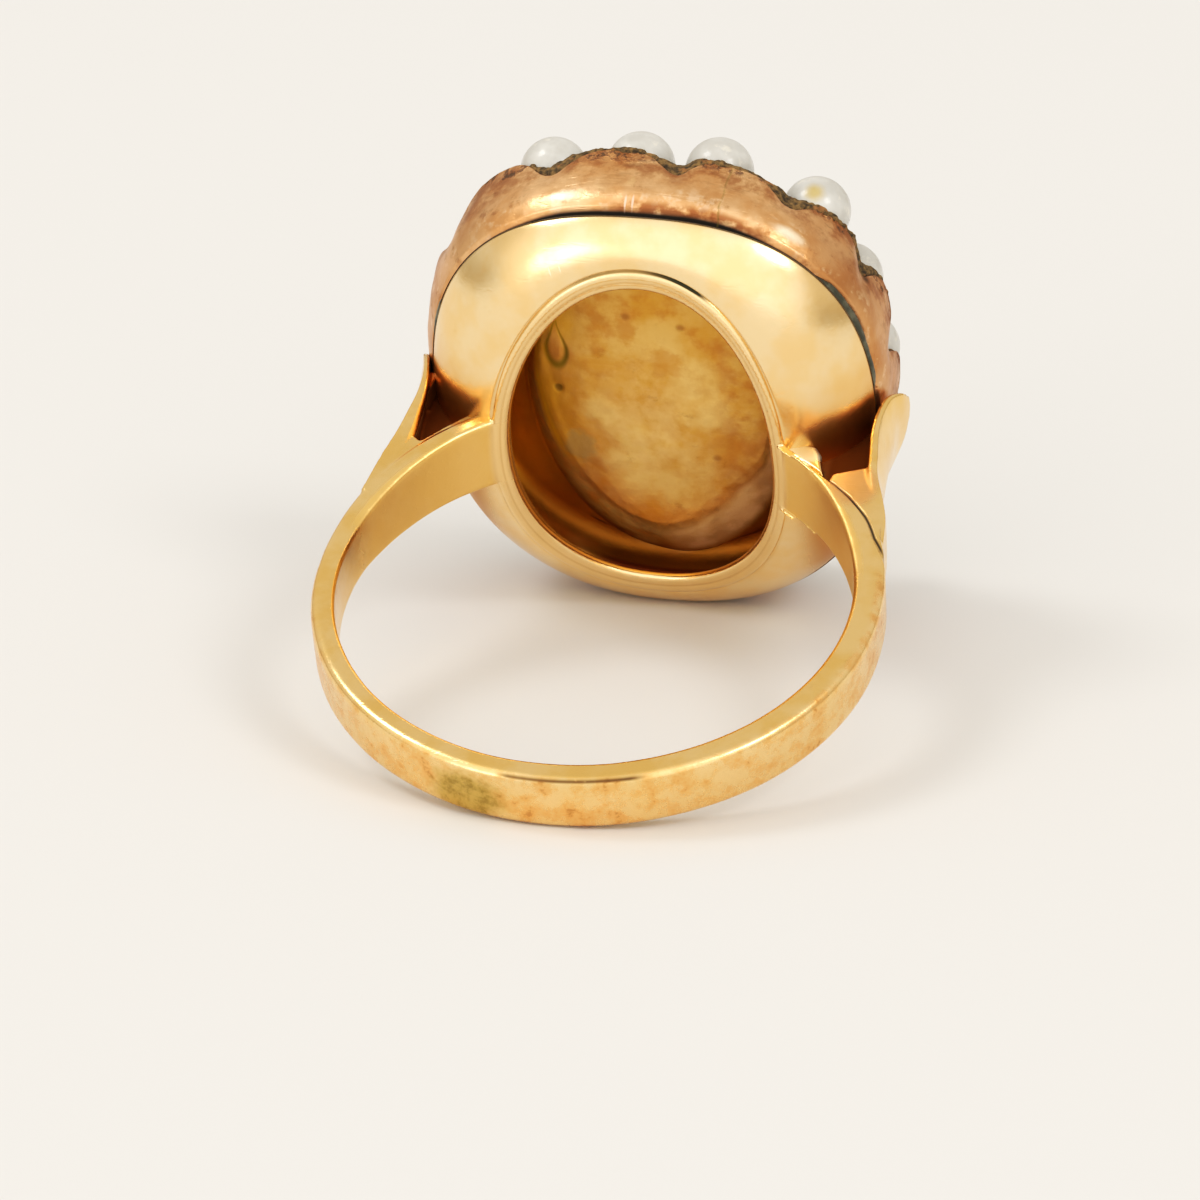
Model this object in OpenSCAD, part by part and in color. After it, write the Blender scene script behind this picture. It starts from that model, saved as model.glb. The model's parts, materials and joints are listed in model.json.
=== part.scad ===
// Victorian mourning ring with a pearl border round a hair locket, in millimetres.
// It lies on its side as a loose ring rests: the back of the hoop and the lower edge of the head touch
// the surface. In the ring's own frame Z runs along the finger, Y points from the finger to the face of
// the head, and X runs across the finger. placed() leans that frame onto the surface.

/* [Finger hole and hoop] */
// Radius of the finger hole
finger_r = 8.6; // [8.4:0.1:8.8]
// Thickness of the hoop
band_t = 0.9; // [0.8:0.05:1]
// Width of the hoop along the finger
band_w = 2.1; // [1.9:0.1:2.3]
// How far the worn hoop stands to the right, which leaves it thinner on the left
band_shift = 0.09; // [0:0.01:0.12]
// Rounding of the hoop's outer edges
band_edge = 0.2; // [0.1:0.05:0.3]
// Width of the hoop where it ends at the cup
strap_w = 2.8; // [2.6:0.1:3]
// Extra thickness of the hoop towards the cup
strap_swell = 0.25; // [0.15:0.05:0.35]
// Angle between the face axis and each end of the hoop
strap_angle = 35.5; // [35:0.5:36.5]

/* [Cup] */
// Half width of the opening behind the finger
opening_half_x = 4.6; // [4.5:0.1:4.7]
// Half height of the opening behind the finger
opening_half_z = 6.4; // [6.2:0.1:6.5]
// Half width over the wire round the opening
wire_half_x = 5.14; // [5.1:0.02:5.2]
// Half height over the wire round the opening
wire_half_z = 7.17; // [7.1:0.01:7.2]
// How far the wire stands proud of the cup
wire_h = 0.18; // [0.1:0.02:0.2]
// Half width of the cup at its seam
seam_half_x = 7.84; // [7.7:0.02:7.9]
// Half height of the cup at its seam
seam_half_z = 8.5; // [8.4:0.05:8.6]
// Distance from the finger hole's wall to the seam
seam_depth = 1.67; // [1.6:0.01:1.75]
// Fullness of the cup's curve, from a straight cone to a quarter round
cup_fullness = 0.6; // [0.3:0.1:0.9]
// Thickness of the cup's wall
cup_wall = 0.6; // [0.5:0.05:0.7]

/* [Pearl border] */
// Number of pearls
pearl_count = 16; // [16:1:16]
// Diameter of a pearl
pearl_d = 2.4; // [2.2:0.05:2.4]
// Half width of the line of pearl centres
pearl_half_x = 7; // [6.95:0.05:7.05]
// Half height of the line of pearl centres
pearl_half_z = 7.85; // [7.8:0.05:7.9]
// Distance from the seam to the pearl centres
pearl_rise = 3.65; // [3.6:0.05:3.7]
// Outward bulge of the border's wall
border_bulge = 0.5; // [0.46:0.02:0.52]
// Height of the border's wall between the pearls
border_low = 1.85; // [1.75:0.05:1.95]
// Extra height of the border's wall at a pearl
border_peak = 1; // [0.9:0.05:1.1]

/* [Locket] */
// Half width of the hair window
window_half_x = 5.1; // [4.9:0.1:5.1]
// Half height of the hair window
window_half_z = 5.95; // [5.6:0.05:6]
// Height of the crystal's dome
dome_h = 1.3; // [0.8:0.1:1.5]
// Thickness of the collar round the crystal
collar_t = 0.45; // [0.35:0.05:0.5]

/* [Hidden] */
$fn = 96;
GAP = 0.05;

YELLOW_GOLD = "#d9ae62";
ROSE_GOLD = "#bd8560";
STAINED_GOLD = "#c29a58";
PEARL_WHITE = "#dfdcd2";
HAIR_BROWN = "#5b3c25";
CRYSTAL_CLEAR = "#dfe8ea";

band_r = finger_r + band_t;
cup_r = finger_r + 0.37;
seam_y = finger_r + seam_depth;
border_y = seam_y + GAP;
pearl_r = pearl_d / 2;
pearl_y = seam_y + pearl_rise;
floor_top = pearl_y - pearl_r - GAP;
floor_t = 0.5;
shelf_y = floor_top - floor_t;
OPENING_N = 2.09;
SEAM_N = 2.55;
BORDER_N = 2.45;
BORDER_SHIFT = -0.16;
PEARL_N = 2.5;
WINDOW_N = 2.6;
// The head's outline is rounder at its lower corners, by this much of the exponent on the left and right
LOWER_ROUND = [0.45, 0.22];
CUP_SIDES = 72;
BORDER_SIDES = 144;
// Room between a pearl and the border's inner wall, and between it and the outer one
SEAT_ROOM = 0.08;
WALL_ROOM = 0.17;

// Pearls, one row each, from the right-hand side over the top of the face. Columns: how many pitches a
// pearl stands off an even spacing, and how far it stands out from the line of centres. The first five
// are in view and follow the ring, and the rest are hidden and nearly even.
PEARLS = [
    [0.08, -0.20], [0.01, 0.30], [0.17, 0.10], [0.06, 0.00], [0.07, 0.20], [0.25, -0.10],
    [0.20, 0.00], [0.12, 0.00], [0.06, 0.00], [0.02, 0.00], [0.00, 0.00], [0.00, 0.00],
    [0.00, 0.00], [0.00, 0.00], [0.00, 0.00], [0.04, -0.15],
];
// Distance from the middle of the face's right-hand side to the first pearl, in pitches
FIRST_PEARL = 1.2;

// Shoulder leaves, one row for each station from the hoop to the head. Columns: distance from the
// finger axis towards the face, distance of the outer surface from the mid plane on the left and on the
// right, thickness, and how far the two edges curl in.
LEAF_ROWS = [
    [2.0, 9.20, 9.25, 0.30, 0.00],
    [2.8, 9.00, 9.14, 0.36, 0.00],
    [3.6, 8.84, 9.14, 0.45, 0.00],
    [4.6, 8.72, 9.07, 0.56, 0.02],
    [5.6, 8.60, 8.83, 0.56, 0.08],
    [6.6, 8.47, 8.60, 0.50, 0.18],
    [7.6, 8.38, 8.54, 0.42, 0.28],
    [8.6, 8.31, 8.50, 0.37, 0.36],
    [9.6, 8.29, 8.50, 0.33, 0.30],
    [10.5, 8.35, 8.54, 0.27, 0.15],
    [11.2, 8.52, 8.66, 0.22, 0.04],
    [11.9, 8.66, 8.76, 0.16, 0.00],
];
// Outline of a leaf along its length. Columns: station of the middle line, half height there, and how
// far the edges lag behind the middle, which points the root and rounds the tip.
LEAF_OUTLINE = [
    [2.9, 0.96, -0.7],
    [3.7, 1.02, -0.4],
    [4.6, 1.08, -0.1],
    [5.6, 1.16, 0.0],
    [6.6, 1.26, 0.0],
    [7.6, 1.38, 0.05],
    [8.6, 1.50, 0.15],
    [9.6, 1.58, 0.35],
    [10.5, 1.62, 0.7],
    [11.2, 1.62, 1.0],
    [11.8, 1.58, 1.3],
];
LEAF_COLUMNS = 10;

function mix(a, b, f) = a + (b - a) * f;
function sgn_pow(v, p) = sign(v) * pow(abs(v), p);

// Point at angle t of a rounded-square outline [half x, half z, exponent, shift in x, extra rounding
// of the lower corners]
function outline(o, t) =
    let (n = o[2] - (sin(t) < 0 ? o[4][cos(t) < 0 ? 0 : 1] : 0))
        [o[3] + o[0] * sgn_pow(cos(t), 2 / n), o[1] * sgn_pow(sin(t), 2 / n)];
function inset(o, d) = [o[0] - d, o[1] - d, o[2], o[3], o[4]];
function scaled(o, f) = [o[0] * f, o[1] * f, o[2], o[3], o[4]];
function mixed(a, b, f) = [for (i = [0:4]) mix(a[i], b[i], f)];
function angles(sides) = [for (i = [0:sides - 1]) (i + 0.5) * 360 / sides];

EVEN = [0, 0];
OPENING = [opening_half_x, opening_half_z, OPENING_N, 0, EVEN];
WIRE = [wire_half_x, wire_half_z, OPENING_N, 0, EVEN];
SEAM = [seam_half_x, seam_half_z, SEAM_N, 0, LOWER_ROUND];
PEARL_LINE = [pearl_half_x, pearl_half_z, PEARL_N, 0, EVEN];
WINDOW = [window_half_x, window_half_z, WINDOW_N, 0, EVEN];

// Faces between closed rows of points. A closed tube joins its last row to its first.
function quad(a, b, c, d) = [[a, b, c], [a, c, d]];
function side_faces(rows, sides, wrap) = [
    for (r = [0:rows - (wrap ? 1 : 2)], s = [0:sides - 1])
        let (q = (r + 1) % rows, n = (s + 1) % sides)
            each quad(r * sides + s, r * sides + n, q * sides + n, q * sides + s)
];
// A cap joins the two halves of its row rung by rung, so a thin curved section is capped cleanly
function cap_faces(start, sides, flip) = [
    for (s = [0:sides / 2 - 2])
        let (a = start + s, b = start + sides - 1 - s)
            each flip ? quad(b, b - 1, a + 1, a) : quad(a, a + 1, b - 1, b)
];
function flat_list(rows) = [for (row = rows) each row];

module tube(rows) {
    sides = len(rows[0]);
    polyhedron(flat_list(rows), side_faces(len(rows), sides, true), convexity = 8);
}

module solid_rows(rows) {
    sides = len(rows[0]);
    last = (len(rows) - 1) * sides;
    faces = concat(
        side_faces(len(rows), sides, false), cap_faces(0, sides, true), cap_faces(last, sides, false)
    );
    polyhedron(flat_list(rows), faces, convexity = 4);
}

// Flat plate of an outline between two distances from the finger axis
module plate(o, y0, y1, sides = 72) {
    translate([0, y1, 0])
        rotate([90, 0, 0])
            linear_extrude(y1 - y0)
                polygon([for (t = angles(sides)) outline(o, t)]);
}

// Pearl places: the line of centres is measured by its own length, so the pearls stand evenly on it
LINE_STEPS = 240;
line_points = [for (i = [0:LINE_STEPS]) outline(PEARL_LINE, i * 360 / LINE_STEPS)];
line_lengths = [
    for (i = 0, s = 0; i <= LINE_STEPS; s = s + norm(line_points[min(i + 1, LINE_STEPS)] - line_points[i]),
        i = i + 1) s
];
line_total = line_lengths[LINE_STEPS];
length_to_angle = [for (i = [0:LINE_STEPS]) [line_lengths[i], i * 360 / LINE_STEPS]];
pitch = line_total / pearl_count;
function pearl_station(i) = (i + FIRST_PEARL + PEARLS[i][0]) * pitch;
function pearl_angle(i) = lookup(pearl_station(i) % line_total, length_to_angle);
function pearl_place(i) = outline(inset(PEARL_LINE, -PEARLS[i][1]), pearl_angle(i));
pearl_places = [for (i = [0:pearl_count - 1]) pearl_place(i)];

// Border: a bulging wall whose top edge rises round each pearl, on a floor that carries them
function nearest(p) = let (all = [for (c = pearl_places) norm(c - p)]) search(min(all), all)[0];
function nearness(p) =
    let (d = min([for (c = pearl_places) norm(c - p)]) / (pitch * 0.56))
        sqrt(max(0, 1 - d * d));
// Moves a point at depth y out of the nearest pearl, with room to spare
function cleared(p, y, room) =
    let (
        c = pearl_places[nearest(p)],
        reach = sqrt(max(0, pow(pearl_r + room, 2) - pow(pearl_y - y, 2))),
        away = norm(p - c)
    )
        away < reach ? c + (p - c) * reach / away : p;
function border_outline(f) =
    let (swell = border_bulge * sin(min(1, 1.35 * f) * 90) - 0.06 * f)
        [
            seam_half_x + swell, seam_half_z + swell, mix(SEAM_N, BORDER_N, f), BORDER_SHIFT * f,
            LOWER_ROUND
        ];
function border_top(t) = border_low + border_peak * nearness(outline(PEARL_LINE, t));
// The wall swells round a pearl, and more where the pearl stands out, and is hollow between pearls
function border_swell(t) =
    let (p = outline(PEARL_LINE, t), near = nearness(p), out = PEARLS[nearest(p)][1])
        near * (0.06 + max(-0.1, out)) - 0.2 * (1 - near);
function border_outer_row(f) = [
    for (t = angles(BORDER_SIDES))
        let (
            y = border_y + f * border_top(t),
            swollen = inset(border_outline(f), -f * f * border_swell(t)),
            p = cleared(outline(swollen, t), y, WALL_ROOM)
        )
            [p[0], y, p[1]]
];
border_outer_rows = [for (i = [0:7]) border_outer_row(i / 7)];

// The ring leans until the hoop's back edge and the lowest point of the head share one plane
edge_centre = [-(band_r - band_edge), -(band_w / 2 - band_edge)];
function lean(y, z, r) =
    let (dy = y - edge_centre[0], dz = edge_centre[1] - z, away = norm([dy, dz]))
        atan2(dz, dy) + asin((r - band_edge) / away);
tilt = max(concat(
    [for (row = border_outer_rows, p = row) lean(p[1], p[2], 0)],
    [for (t = angles(CUP_SIDES)) lean(seam_y, outline(SEAM, t)[1], 0)],
    [for (c = pearl_places) lean(pearl_y, c[1], pearl_r)]
));
lift = band_edge - (edge_centre[0] * sin(tilt) + edge_centre[1] * cos(tilt));
front_y = max([for (c = pearl_places) pearl_y * cos(tilt) - c[1] * sin(tilt)]) + pearl_r;
back_y = edge_centre[0] * cos(tilt) + edge_centre[1] * sin(tilt) - band_edge;

module placed() {
    translate([-band_shift, -(front_y + back_y) / 2, lift])
        rotate([tilt, 0, 0])
            children();
}

// Hoop: a flat band with soft outer edges, open where the head sits. Its profile starts inside the
// finger hole's wall, and the hole is cut last.
module band_profile() {
    inside = finger_r - band_shift - 0.2;
    translate([inside, -band_w / 2])
        square([band_r - band_edge - inside, band_w]);
    translate([inside, -band_w / 2 + band_edge])
        square([band_r - inside, band_w - 2 * band_edge]);
    for (side = [-1, 1])
        translate([band_r - band_edge, side * (band_w / 2 - band_edge)])
            circle(band_edge, $fn = 24);
}

strap_low = 0.6;
strap_start = 2.6;
strap_end = finger_r * cos(strap_angle);

// Everything nearer the face than the hoop's ends
module head_gap(from_angle) {
    reach = 2 * band_r;
    linear_extrude(strap_w + 2, center = true)
        polygon([
            [0, 0],
            reach * [sin(from_angle), cos(from_angle)],
            reach * [sin(from_angle / 2), cos(from_angle / 2)],
            reach * [-sin(from_angle / 2), cos(from_angle / 2)],
            reach * [-sin(from_angle), cos(from_angle)],
        ]);
}

// Side view of the straps, which widen towards the cup
module strap_side() {
    side_points = [[strap_low, band_w / 2], [strap_start, band_w / 2], [strap_end + 1, strap_w / 2]];
    rotate([90, 0, 90])
        linear_extrude(4 * band_r, center = true)
            polygon(concat(
                [for (p = side_points) [p[0], -p[1]]],
                [for (i = [len(side_points) - 1:-1:0]) side_points[i]]
            ));
}

module hoop() {
    difference() {
        translate([band_shift, 0, 0])
            union() {
                difference() {
                    rotate_extrude()
                        band_profile();
                    head_gap(strap_angle + 10);
                }
                intersection() {
                    translate([0, strap_swell, 0])
                        cylinder(h = strap_w, r = band_r, center = true);
                    strap_side();
                }
            }
        cylinder(h = strap_w + 2, r = finger_r, center = true);
        head_gap(strap_angle);
    }
}

// Leaf shoulder: a thin curled plate from the hoop's outer face to the seam
function leaf_value(y, column) = lookup(y, [for (row = LEAF_ROWS) [row[0], row[column]]]);
function leaf_point(row, k, side, inner) =
    let (y = row[0] - row[2] * k * k, curl = leaf_value(y, 4) * k * k, deep = inner ? leaf_value(y, 3) : 0)
        [side * (leaf_value(y, side < 0 ? 1 : 2) - curl - deep), y, k * row[1]];
function leaf_section(row, side) = concat(
    [for (i = [0:LEAF_COLUMNS]) leaf_point(row, 2 * i / LEAF_COLUMNS - 1, side, false)],
    [for (i = [LEAF_COLUMNS:-1:0]) leaf_point(row, 2 * i / LEAF_COLUMNS - 1, side, true)]
);

module leaf(side) {
    rows = [for (row = LEAF_OUTLINE) leaf_section(row, side)];
    solid_rows(side > 0 ? rows : [for (i = [len(rows) - 1:-1:0]) rows[i]]);
}

// Web that fills the crotch between a strap and its leaf. Columns: side, half height, how far it reaches.
WEBS = [[-1, 1.0, 6.5], [1, 1.06, 6.8]];
module web(side, half_h, reach) {
    linear_extrude(2 * half_h, center = true)
        polygon([
            [side * 8.4, 3.4],
            [side * 8.95, 3.6],
            [side * 8.85, 4.6],
            [side * 8.6, 5.6],
            [side * 8.35, reach],
            [side * 7.4, reach + 0.1],
            [side * 6.9, 6.2],
        ]);
}

// Solder behind a leaf, which joins it to the cup along its lower half
BACKING = [
    [8.25, 7.3], [8.11, 8.5], [8.09, 10.21], [7.5, 10.21], [7.2, 9.3], [6.55, 8.45], [6.5, 7.9], [7.3, 7.1]
];
backing_low = -1.45;
backing_high = 0.15;
module backing(side) {
    translate([0, 0, backing_low])
        linear_extrude(backing_high - backing_low)
            polygon([for (p = BACKING) [side * p[0], p[1]]]);
}

// Small beads of solder where the straps and leaves meet the head
SOLDER_BEADS = [
    [-5.28, 7.3, 1.32, 0.26],
    [5.75, 7.6, 1.0, 0.5],
    [6.25, 7.85, 0.85, 0.4],
    [5.3, 7.3, -1.3, 0.28],
    [-5.6, 7.5, -1.1, 0.4],
];
module solder_beads() {
    for (b = SOLDER_BEADS)
        translate([b[0], b[1], b[2]])
            sphere(b[3], $fn = 32);
}

// Cup: its back edge lies on a cylinder round the finger, its front edge on the flat seam
function saddle(x) = sqrt(cup_r * cup_r - x * x);
function wire_row(f) = [
    for (t = angles(CUP_SIDES))
        let (p = outline(mixed(OPENING, WIRE, f), t))
            [p[0], saddle(p[0]) - wire_h * sin(180 * f), p[1]]
];
function groove_row(out, deep) = [
    for (t = angles(CUP_SIDES))
        let (p = outline(inset(WIRE, -out), t))
            [p[0], saddle(p[0]) + deep, p[1]]
];
// Row of the cup's wall, f from the wire to the seam, moved in by d and forward by y
function cup_row(f, d, y) = [
    for (t = angles(CUP_SIDES))
        let (
            out = mix(f, sin(90 * f), cup_fullness),
            up = mix(f, 1 - cos(90 * f), cup_fullness),
            p = outline(inset(mixed(WIRE, SEAM, out), d), t),
            back = outline(WIRE, t)
        )
            [p[0], mix(saddle(back[0]), seam_y, up) + y, p[1]]
];
// Row of the opening's back edge, moved out and forward
function back_row(out, deep) = [
    for (t = angles(CUP_SIDES))
        let (p = outline(inset(OPENING, -out), t))
            [p[0], saddle(p[0]) + deep, p[1]]
];
cup_outer_rows = concat(
    [for (f = [0, 0.2, 0.4, 0.6, 0.8, 0.96]) wire_row(f)],
    [groove_row(0.03, 0.12)],
    [for (i = [0:9]) cup_row(mix(0.05, 1, i / 9), 0, 0)]
);
cup_inner_rows = concat(
    [for (f = [1, 0.8, 0.6, 0.4, 0.2]) cup_row(f, cup_wall, f < 1 ? cup_wall * (1 - f) : 0)],
    [for (b = [[0.3, 0.62], [0.02, 0.3]]) back_row(b[0], b[1])]
);

module cup() {
    tube(concat(cup_outer_rows, cup_inner_rows));
}

module shank_with_cup() {
    color(YELLOW_GOLD)
        placed()
            union() {
                hoop();
                for (side = [-1, 1])
                    leaf(side);
                for (w = WEBS)
                    web(w[0], w[1], w[2]);
                for (side = [-1, 1])
                    backing(side);
                solder_beads();
                cup();
            }
}

// The wall's inner face keeps clear of the pearls
function border_inner_row(f) = [
    for (t = angles(BORDER_SIDES))
        let (
            y = mix(floor_top, border_y + border_top(t), f),
            out = mix(0.35, 0.75, f),
            p = cleared(outline(inset(PEARL_LINE, -out), t), y, SEAT_ROOM)
        )
            [p[0], y, p[1]]
];
COLLAR = inset(WINDOW, -collar_t);
function flat_row(o, y) = [for (t = angles(BORDER_SIDES)) let (p = outline(o, t)) [p[0], y, p[1]]];

module pearl_setting() {
    skirt = inset(SEAM, cup_wall);
    color(ROSE_GOLD)
        placed()
            tube(concat(
                border_outer_rows,
                [for (f = [0.98, 0.75, 0.5, 0.32, 0.16, 0]) border_inner_row(f)],
                [flat_row(inset(COLLAR, -GAP), floor_top)],
                [flat_row(inset(COLLAR, -GAP), shelf_y)],
                [flat_row(skirt, shelf_y)],
                [flat_row(skirt, border_y)]
            ));
}

// Stained back of the locket: a shallow tray with an egg-shaped raised field that slopes down to its
// foot. Columns: half width, half height, and the middle of each.
PLATE_T = 0.55;
TRAY_WALL = 0.3;
FIELD_TOP = [3.35, 5.6, -0.65, 0.5];
FIELD_FOOT = [4.4, 7.0, 0, 0.1];
FIELD_RISE = 0.95;
FIELD_DOME = 0.2;
// Slope of the field's side. Columns: share of the way to its foot, share of its rise lost.
FIELD_SLOPE = [[0.2, 0.05], [0.42, 0.2], [0.64, 0.48], [0.84, 0.8], [1, 1]];

// Row of the field at share f of its half sizes, k of the way from its top to its foot
function field_row(f, k, y) =
    let (o = [for (i = [0:3]) mix(FIELD_TOP[i], FIELD_FOOT[i], k)])
        [for (t = angles(64)) [o[2] + f * o[0] * cos(t), y, o[3] + f * o[1] * sin(t)]];

module locket_back() {
    top = shelf_y - GAP;
    foot = top - PLATE_T;
    crown = foot - FIELD_RISE;
    tray = inset(SEAM, cup_wall + 0.1);
    color(STAINED_GOLD)
        placed() {
            difference() {
                plate(tray, seam_y, top);
                plate(inset(tray, TRAY_WALL), seam_y - 1, foot);
            }
            solid_rows(concat(
                [for (f = [0.05, 0.3, 0.6, 0.85, 1]) field_row(f, 0, crown - FIELD_DOME * (1 - f * f))],
                [for (p = FIELD_SLOPE) field_row(1, p[0], crown + p[1] * FIELD_RISE)],
                [field_row(1, 1, foot + 0.2)]
            ));
        }
}

// Hidden front: woven hair under a domed crystal, held by a plain collar
HAIR_T = 0.9;
hair_y = shelf_y;
crystal_y = hair_y + HAIR_T + GAP;
crystal_edge = 0.6;

module hair_panel() {
    color(HAIR_BROWN)
        placed()
            plate(inset(WINDOW, GAP), hair_y, hair_y + HAIR_T);
}

module crystal() {
    o = inset(WINDOW, GAP);
    rim = crystal_y + crystal_edge;
    color(CRYSTAL_CLEAR)
        placed()
            solid_rows(concat(
                [flat_row72(o, crystal_y), flat_row72(o, rim)],
                [for (a = [18:18:72]) flat_row72(scaled(o, cos(a)), rim + dome_h * sin(a))],
                [flat_row72(scaled(o, 0.08), rim + dome_h)]
            ));
}
function flat_row72(o, y) = [for (t = angles(72)) let (p = outline(o, t)) [p[0], y, p[1]]];

module crystal_collar() {
    lip = crystal_y + crystal_edge + 0.45;
    color(YELLOW_GOLD)
        placed()
            tube([
                flat_row72(COLLAR, hair_y),
                flat_row72(COLLAR, lip - 0.15),
                flat_row72(inset(COLLAR, 0.15), lip),
                flat_row72(inset(COLLAR, 0.35), lip),
                flat_row72(WINDOW, lip - 0.25),
                flat_row72(WINDOW, hair_y),
            ]);
}

module pearl(i) {
    c = pearl_places[i];
    color(PEARL_WHITE)
        placed()
            translate([c[0], pearl_y, c[1]])
                sphere(pearl_r, $fn = 48);
}

shank_with_cup();
locket_back();
pearl_setting();
hair_panel();
crystal();
crystal_collar();
for (i = [0:pearl_count - 1])
    pearl(i);
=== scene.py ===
"""Looks of the mourning ring: its worn gold, pearls, hair and crystal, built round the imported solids.

Shapes are worked out in the ring's own frame in millimetres: Z runs along the finger, Y from the finger to
the face of the head, and X across the finger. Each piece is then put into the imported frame, in metres.
"""
import sys
import json
import logging
import math
from dataclasses import dataclass
from enum import Enum
from typing import Any, Sequence

import bmesh
import bpy
import numpy as np
from mathutils import Matrix, Vector, noise


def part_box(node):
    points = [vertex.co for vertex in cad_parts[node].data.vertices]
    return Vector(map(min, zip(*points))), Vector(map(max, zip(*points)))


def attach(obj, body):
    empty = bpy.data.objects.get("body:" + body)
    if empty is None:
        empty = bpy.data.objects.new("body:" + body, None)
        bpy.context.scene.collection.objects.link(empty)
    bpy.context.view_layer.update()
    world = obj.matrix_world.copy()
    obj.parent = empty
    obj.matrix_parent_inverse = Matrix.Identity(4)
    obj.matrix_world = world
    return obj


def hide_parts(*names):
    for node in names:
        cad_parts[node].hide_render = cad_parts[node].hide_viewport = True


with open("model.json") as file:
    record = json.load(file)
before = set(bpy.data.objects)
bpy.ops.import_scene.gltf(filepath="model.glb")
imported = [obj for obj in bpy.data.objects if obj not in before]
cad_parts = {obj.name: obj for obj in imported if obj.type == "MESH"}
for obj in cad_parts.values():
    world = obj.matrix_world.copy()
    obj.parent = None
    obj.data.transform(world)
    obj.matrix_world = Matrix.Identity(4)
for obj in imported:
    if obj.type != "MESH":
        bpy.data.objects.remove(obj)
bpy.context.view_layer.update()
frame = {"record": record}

Array = np.ndarray
Triple = tuple[float, float, float]
Colour = Triple
Table = tuple[tuple[float, ...], ...]

LOG = logging.getLogger("mourning_ring")
MM = 0.001


def tone(red: float, green: float, blue: float) -> Colour:
    """Turns a colour as the eye sees it, 0 to 255, into linear light.

    Args:
        red: Red as displayed.
        green: Green as displayed.
        blue: Blue as displayed.

    Returns:
        The colour in linear light, 0 to 1.
    """
    shown = [c / 255 for c in (red, green, blue)]
    return tuple(c / 12.92 if c <= 0.04045 else ((c + 0.055) / 1.055) ** 2.4 for c in shown)


def signed_power(values: Array, power: float | Array) -> Array:
    """Raises the size of each value to a power and keeps its sign."""
    return np.sign(values) * np.abs(values) ** power


def eased(low: float, high: float, values: Array) -> Array:
    """Rises smoothly from 0 at low to 1 at high.

    Args:
        low: Where the rise starts.
        high: Where it ends, which may be below low for a fall.
        values: Where to take it.

    Returns:
        The risen share at each value.
    """
    share = np.clip((values - low) / (high - low), 0, 1)
    return share * share * (3 - 2 * share)


def through(stations: Sequence[float], heights: Sequence[float], at: Array) -> Array:
    """Runs a smooth curve through a table.

    Args:
        stations: Rising places along the table.
        heights: The value at each place.
        at: Where to read the curve.

    Returns:
        The curve's value at each place asked for.
    """
    xs = np.asarray(stations, float)
    ys = np.asarray(heights, float)
    slopes = np.gradient(ys, xs)
    at = np.clip(at, xs[0], xs[-1])
    i = np.clip(np.searchsorted(xs, at) - 1, 0, len(xs) - 2)
    span = xs[i + 1] - xs[i]
    f = (at - xs[i]) / span
    start = (1 + 2 * f) * (1 - f) ** 2 * ys[i] + f * (1 - f) ** 2 * span * slopes[i]
    end = f * f * (3 - 2 * f) * ys[i + 1] + f * f * (f - 1) * span * slopes[i + 1]
    return start + end


def grain(points: Array, size: float, seed: float, octaves: int = 3) -> Array:
    """Gives an uneven value between about -1 and 1 at each point.

    Args:
        points: Points in millimetres, shaped (..., 3).
        size: Size of the largest unevenness in millimetres.
        seed: Shifts the pattern, so that pieces differ.
        octaves: How many finer patterns are laid over it.

    Returns:
        One value for each point.
    """
    flat = points.reshape(-1, 3) / size + seed
    values = [noise.fractal(p, 0.9, 2.1, octaves) for p in flat.tolist()]
    return np.array(values).reshape(points.shape[:-1])


def flat_grain(flat: Array, size: float, seed: float, octaves: int) -> Array:
    """Gives an uneven value at each place of a flat row.

    Args:
        flat: Two coordinates of each place, in millimetres.
        size: Size of the largest unevenness in millimetres.
        seed: Shifts the pattern.
        octaves: How many finer patterns are laid over it.

    Returns:
        One value for each place.
    """
    return grain(np.column_stack([flat, np.zeros(len(flat))]), size, seed, octaves)


@dataclass(frozen=True)
class RingFrame:
    """Where the ring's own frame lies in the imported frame."""

    origin: Vector
    tilt: float

    @classmethod
    def from_record(cls, record: dict[str, Any]) -> "RingFrame":
        """Reads the frame from the finger hole's axis.

        Args:
            record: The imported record.

        Returns:
            The ring's frame.
        """
        hole = next(m for m in record["mounts"] if m["name"] == "finger_hole")
        return cls(Vector(hole["pos_m"]), math.atan2(-hole["axis"][1], hole["axis"][2]))

    @property
    def matrix(self) -> Matrix:
        """Ring millimetres to packed metres."""
        return Matrix.Translation(self.origin) @ Matrix.Rotation(self.tilt, 4, "X") @ Matrix.Scale(MM, 4)

    def local(self, point: Vector) -> Array:
        """Packed metres to ring millimetres."""
        return np.array(self.matrix.inverted() @ point)


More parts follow.
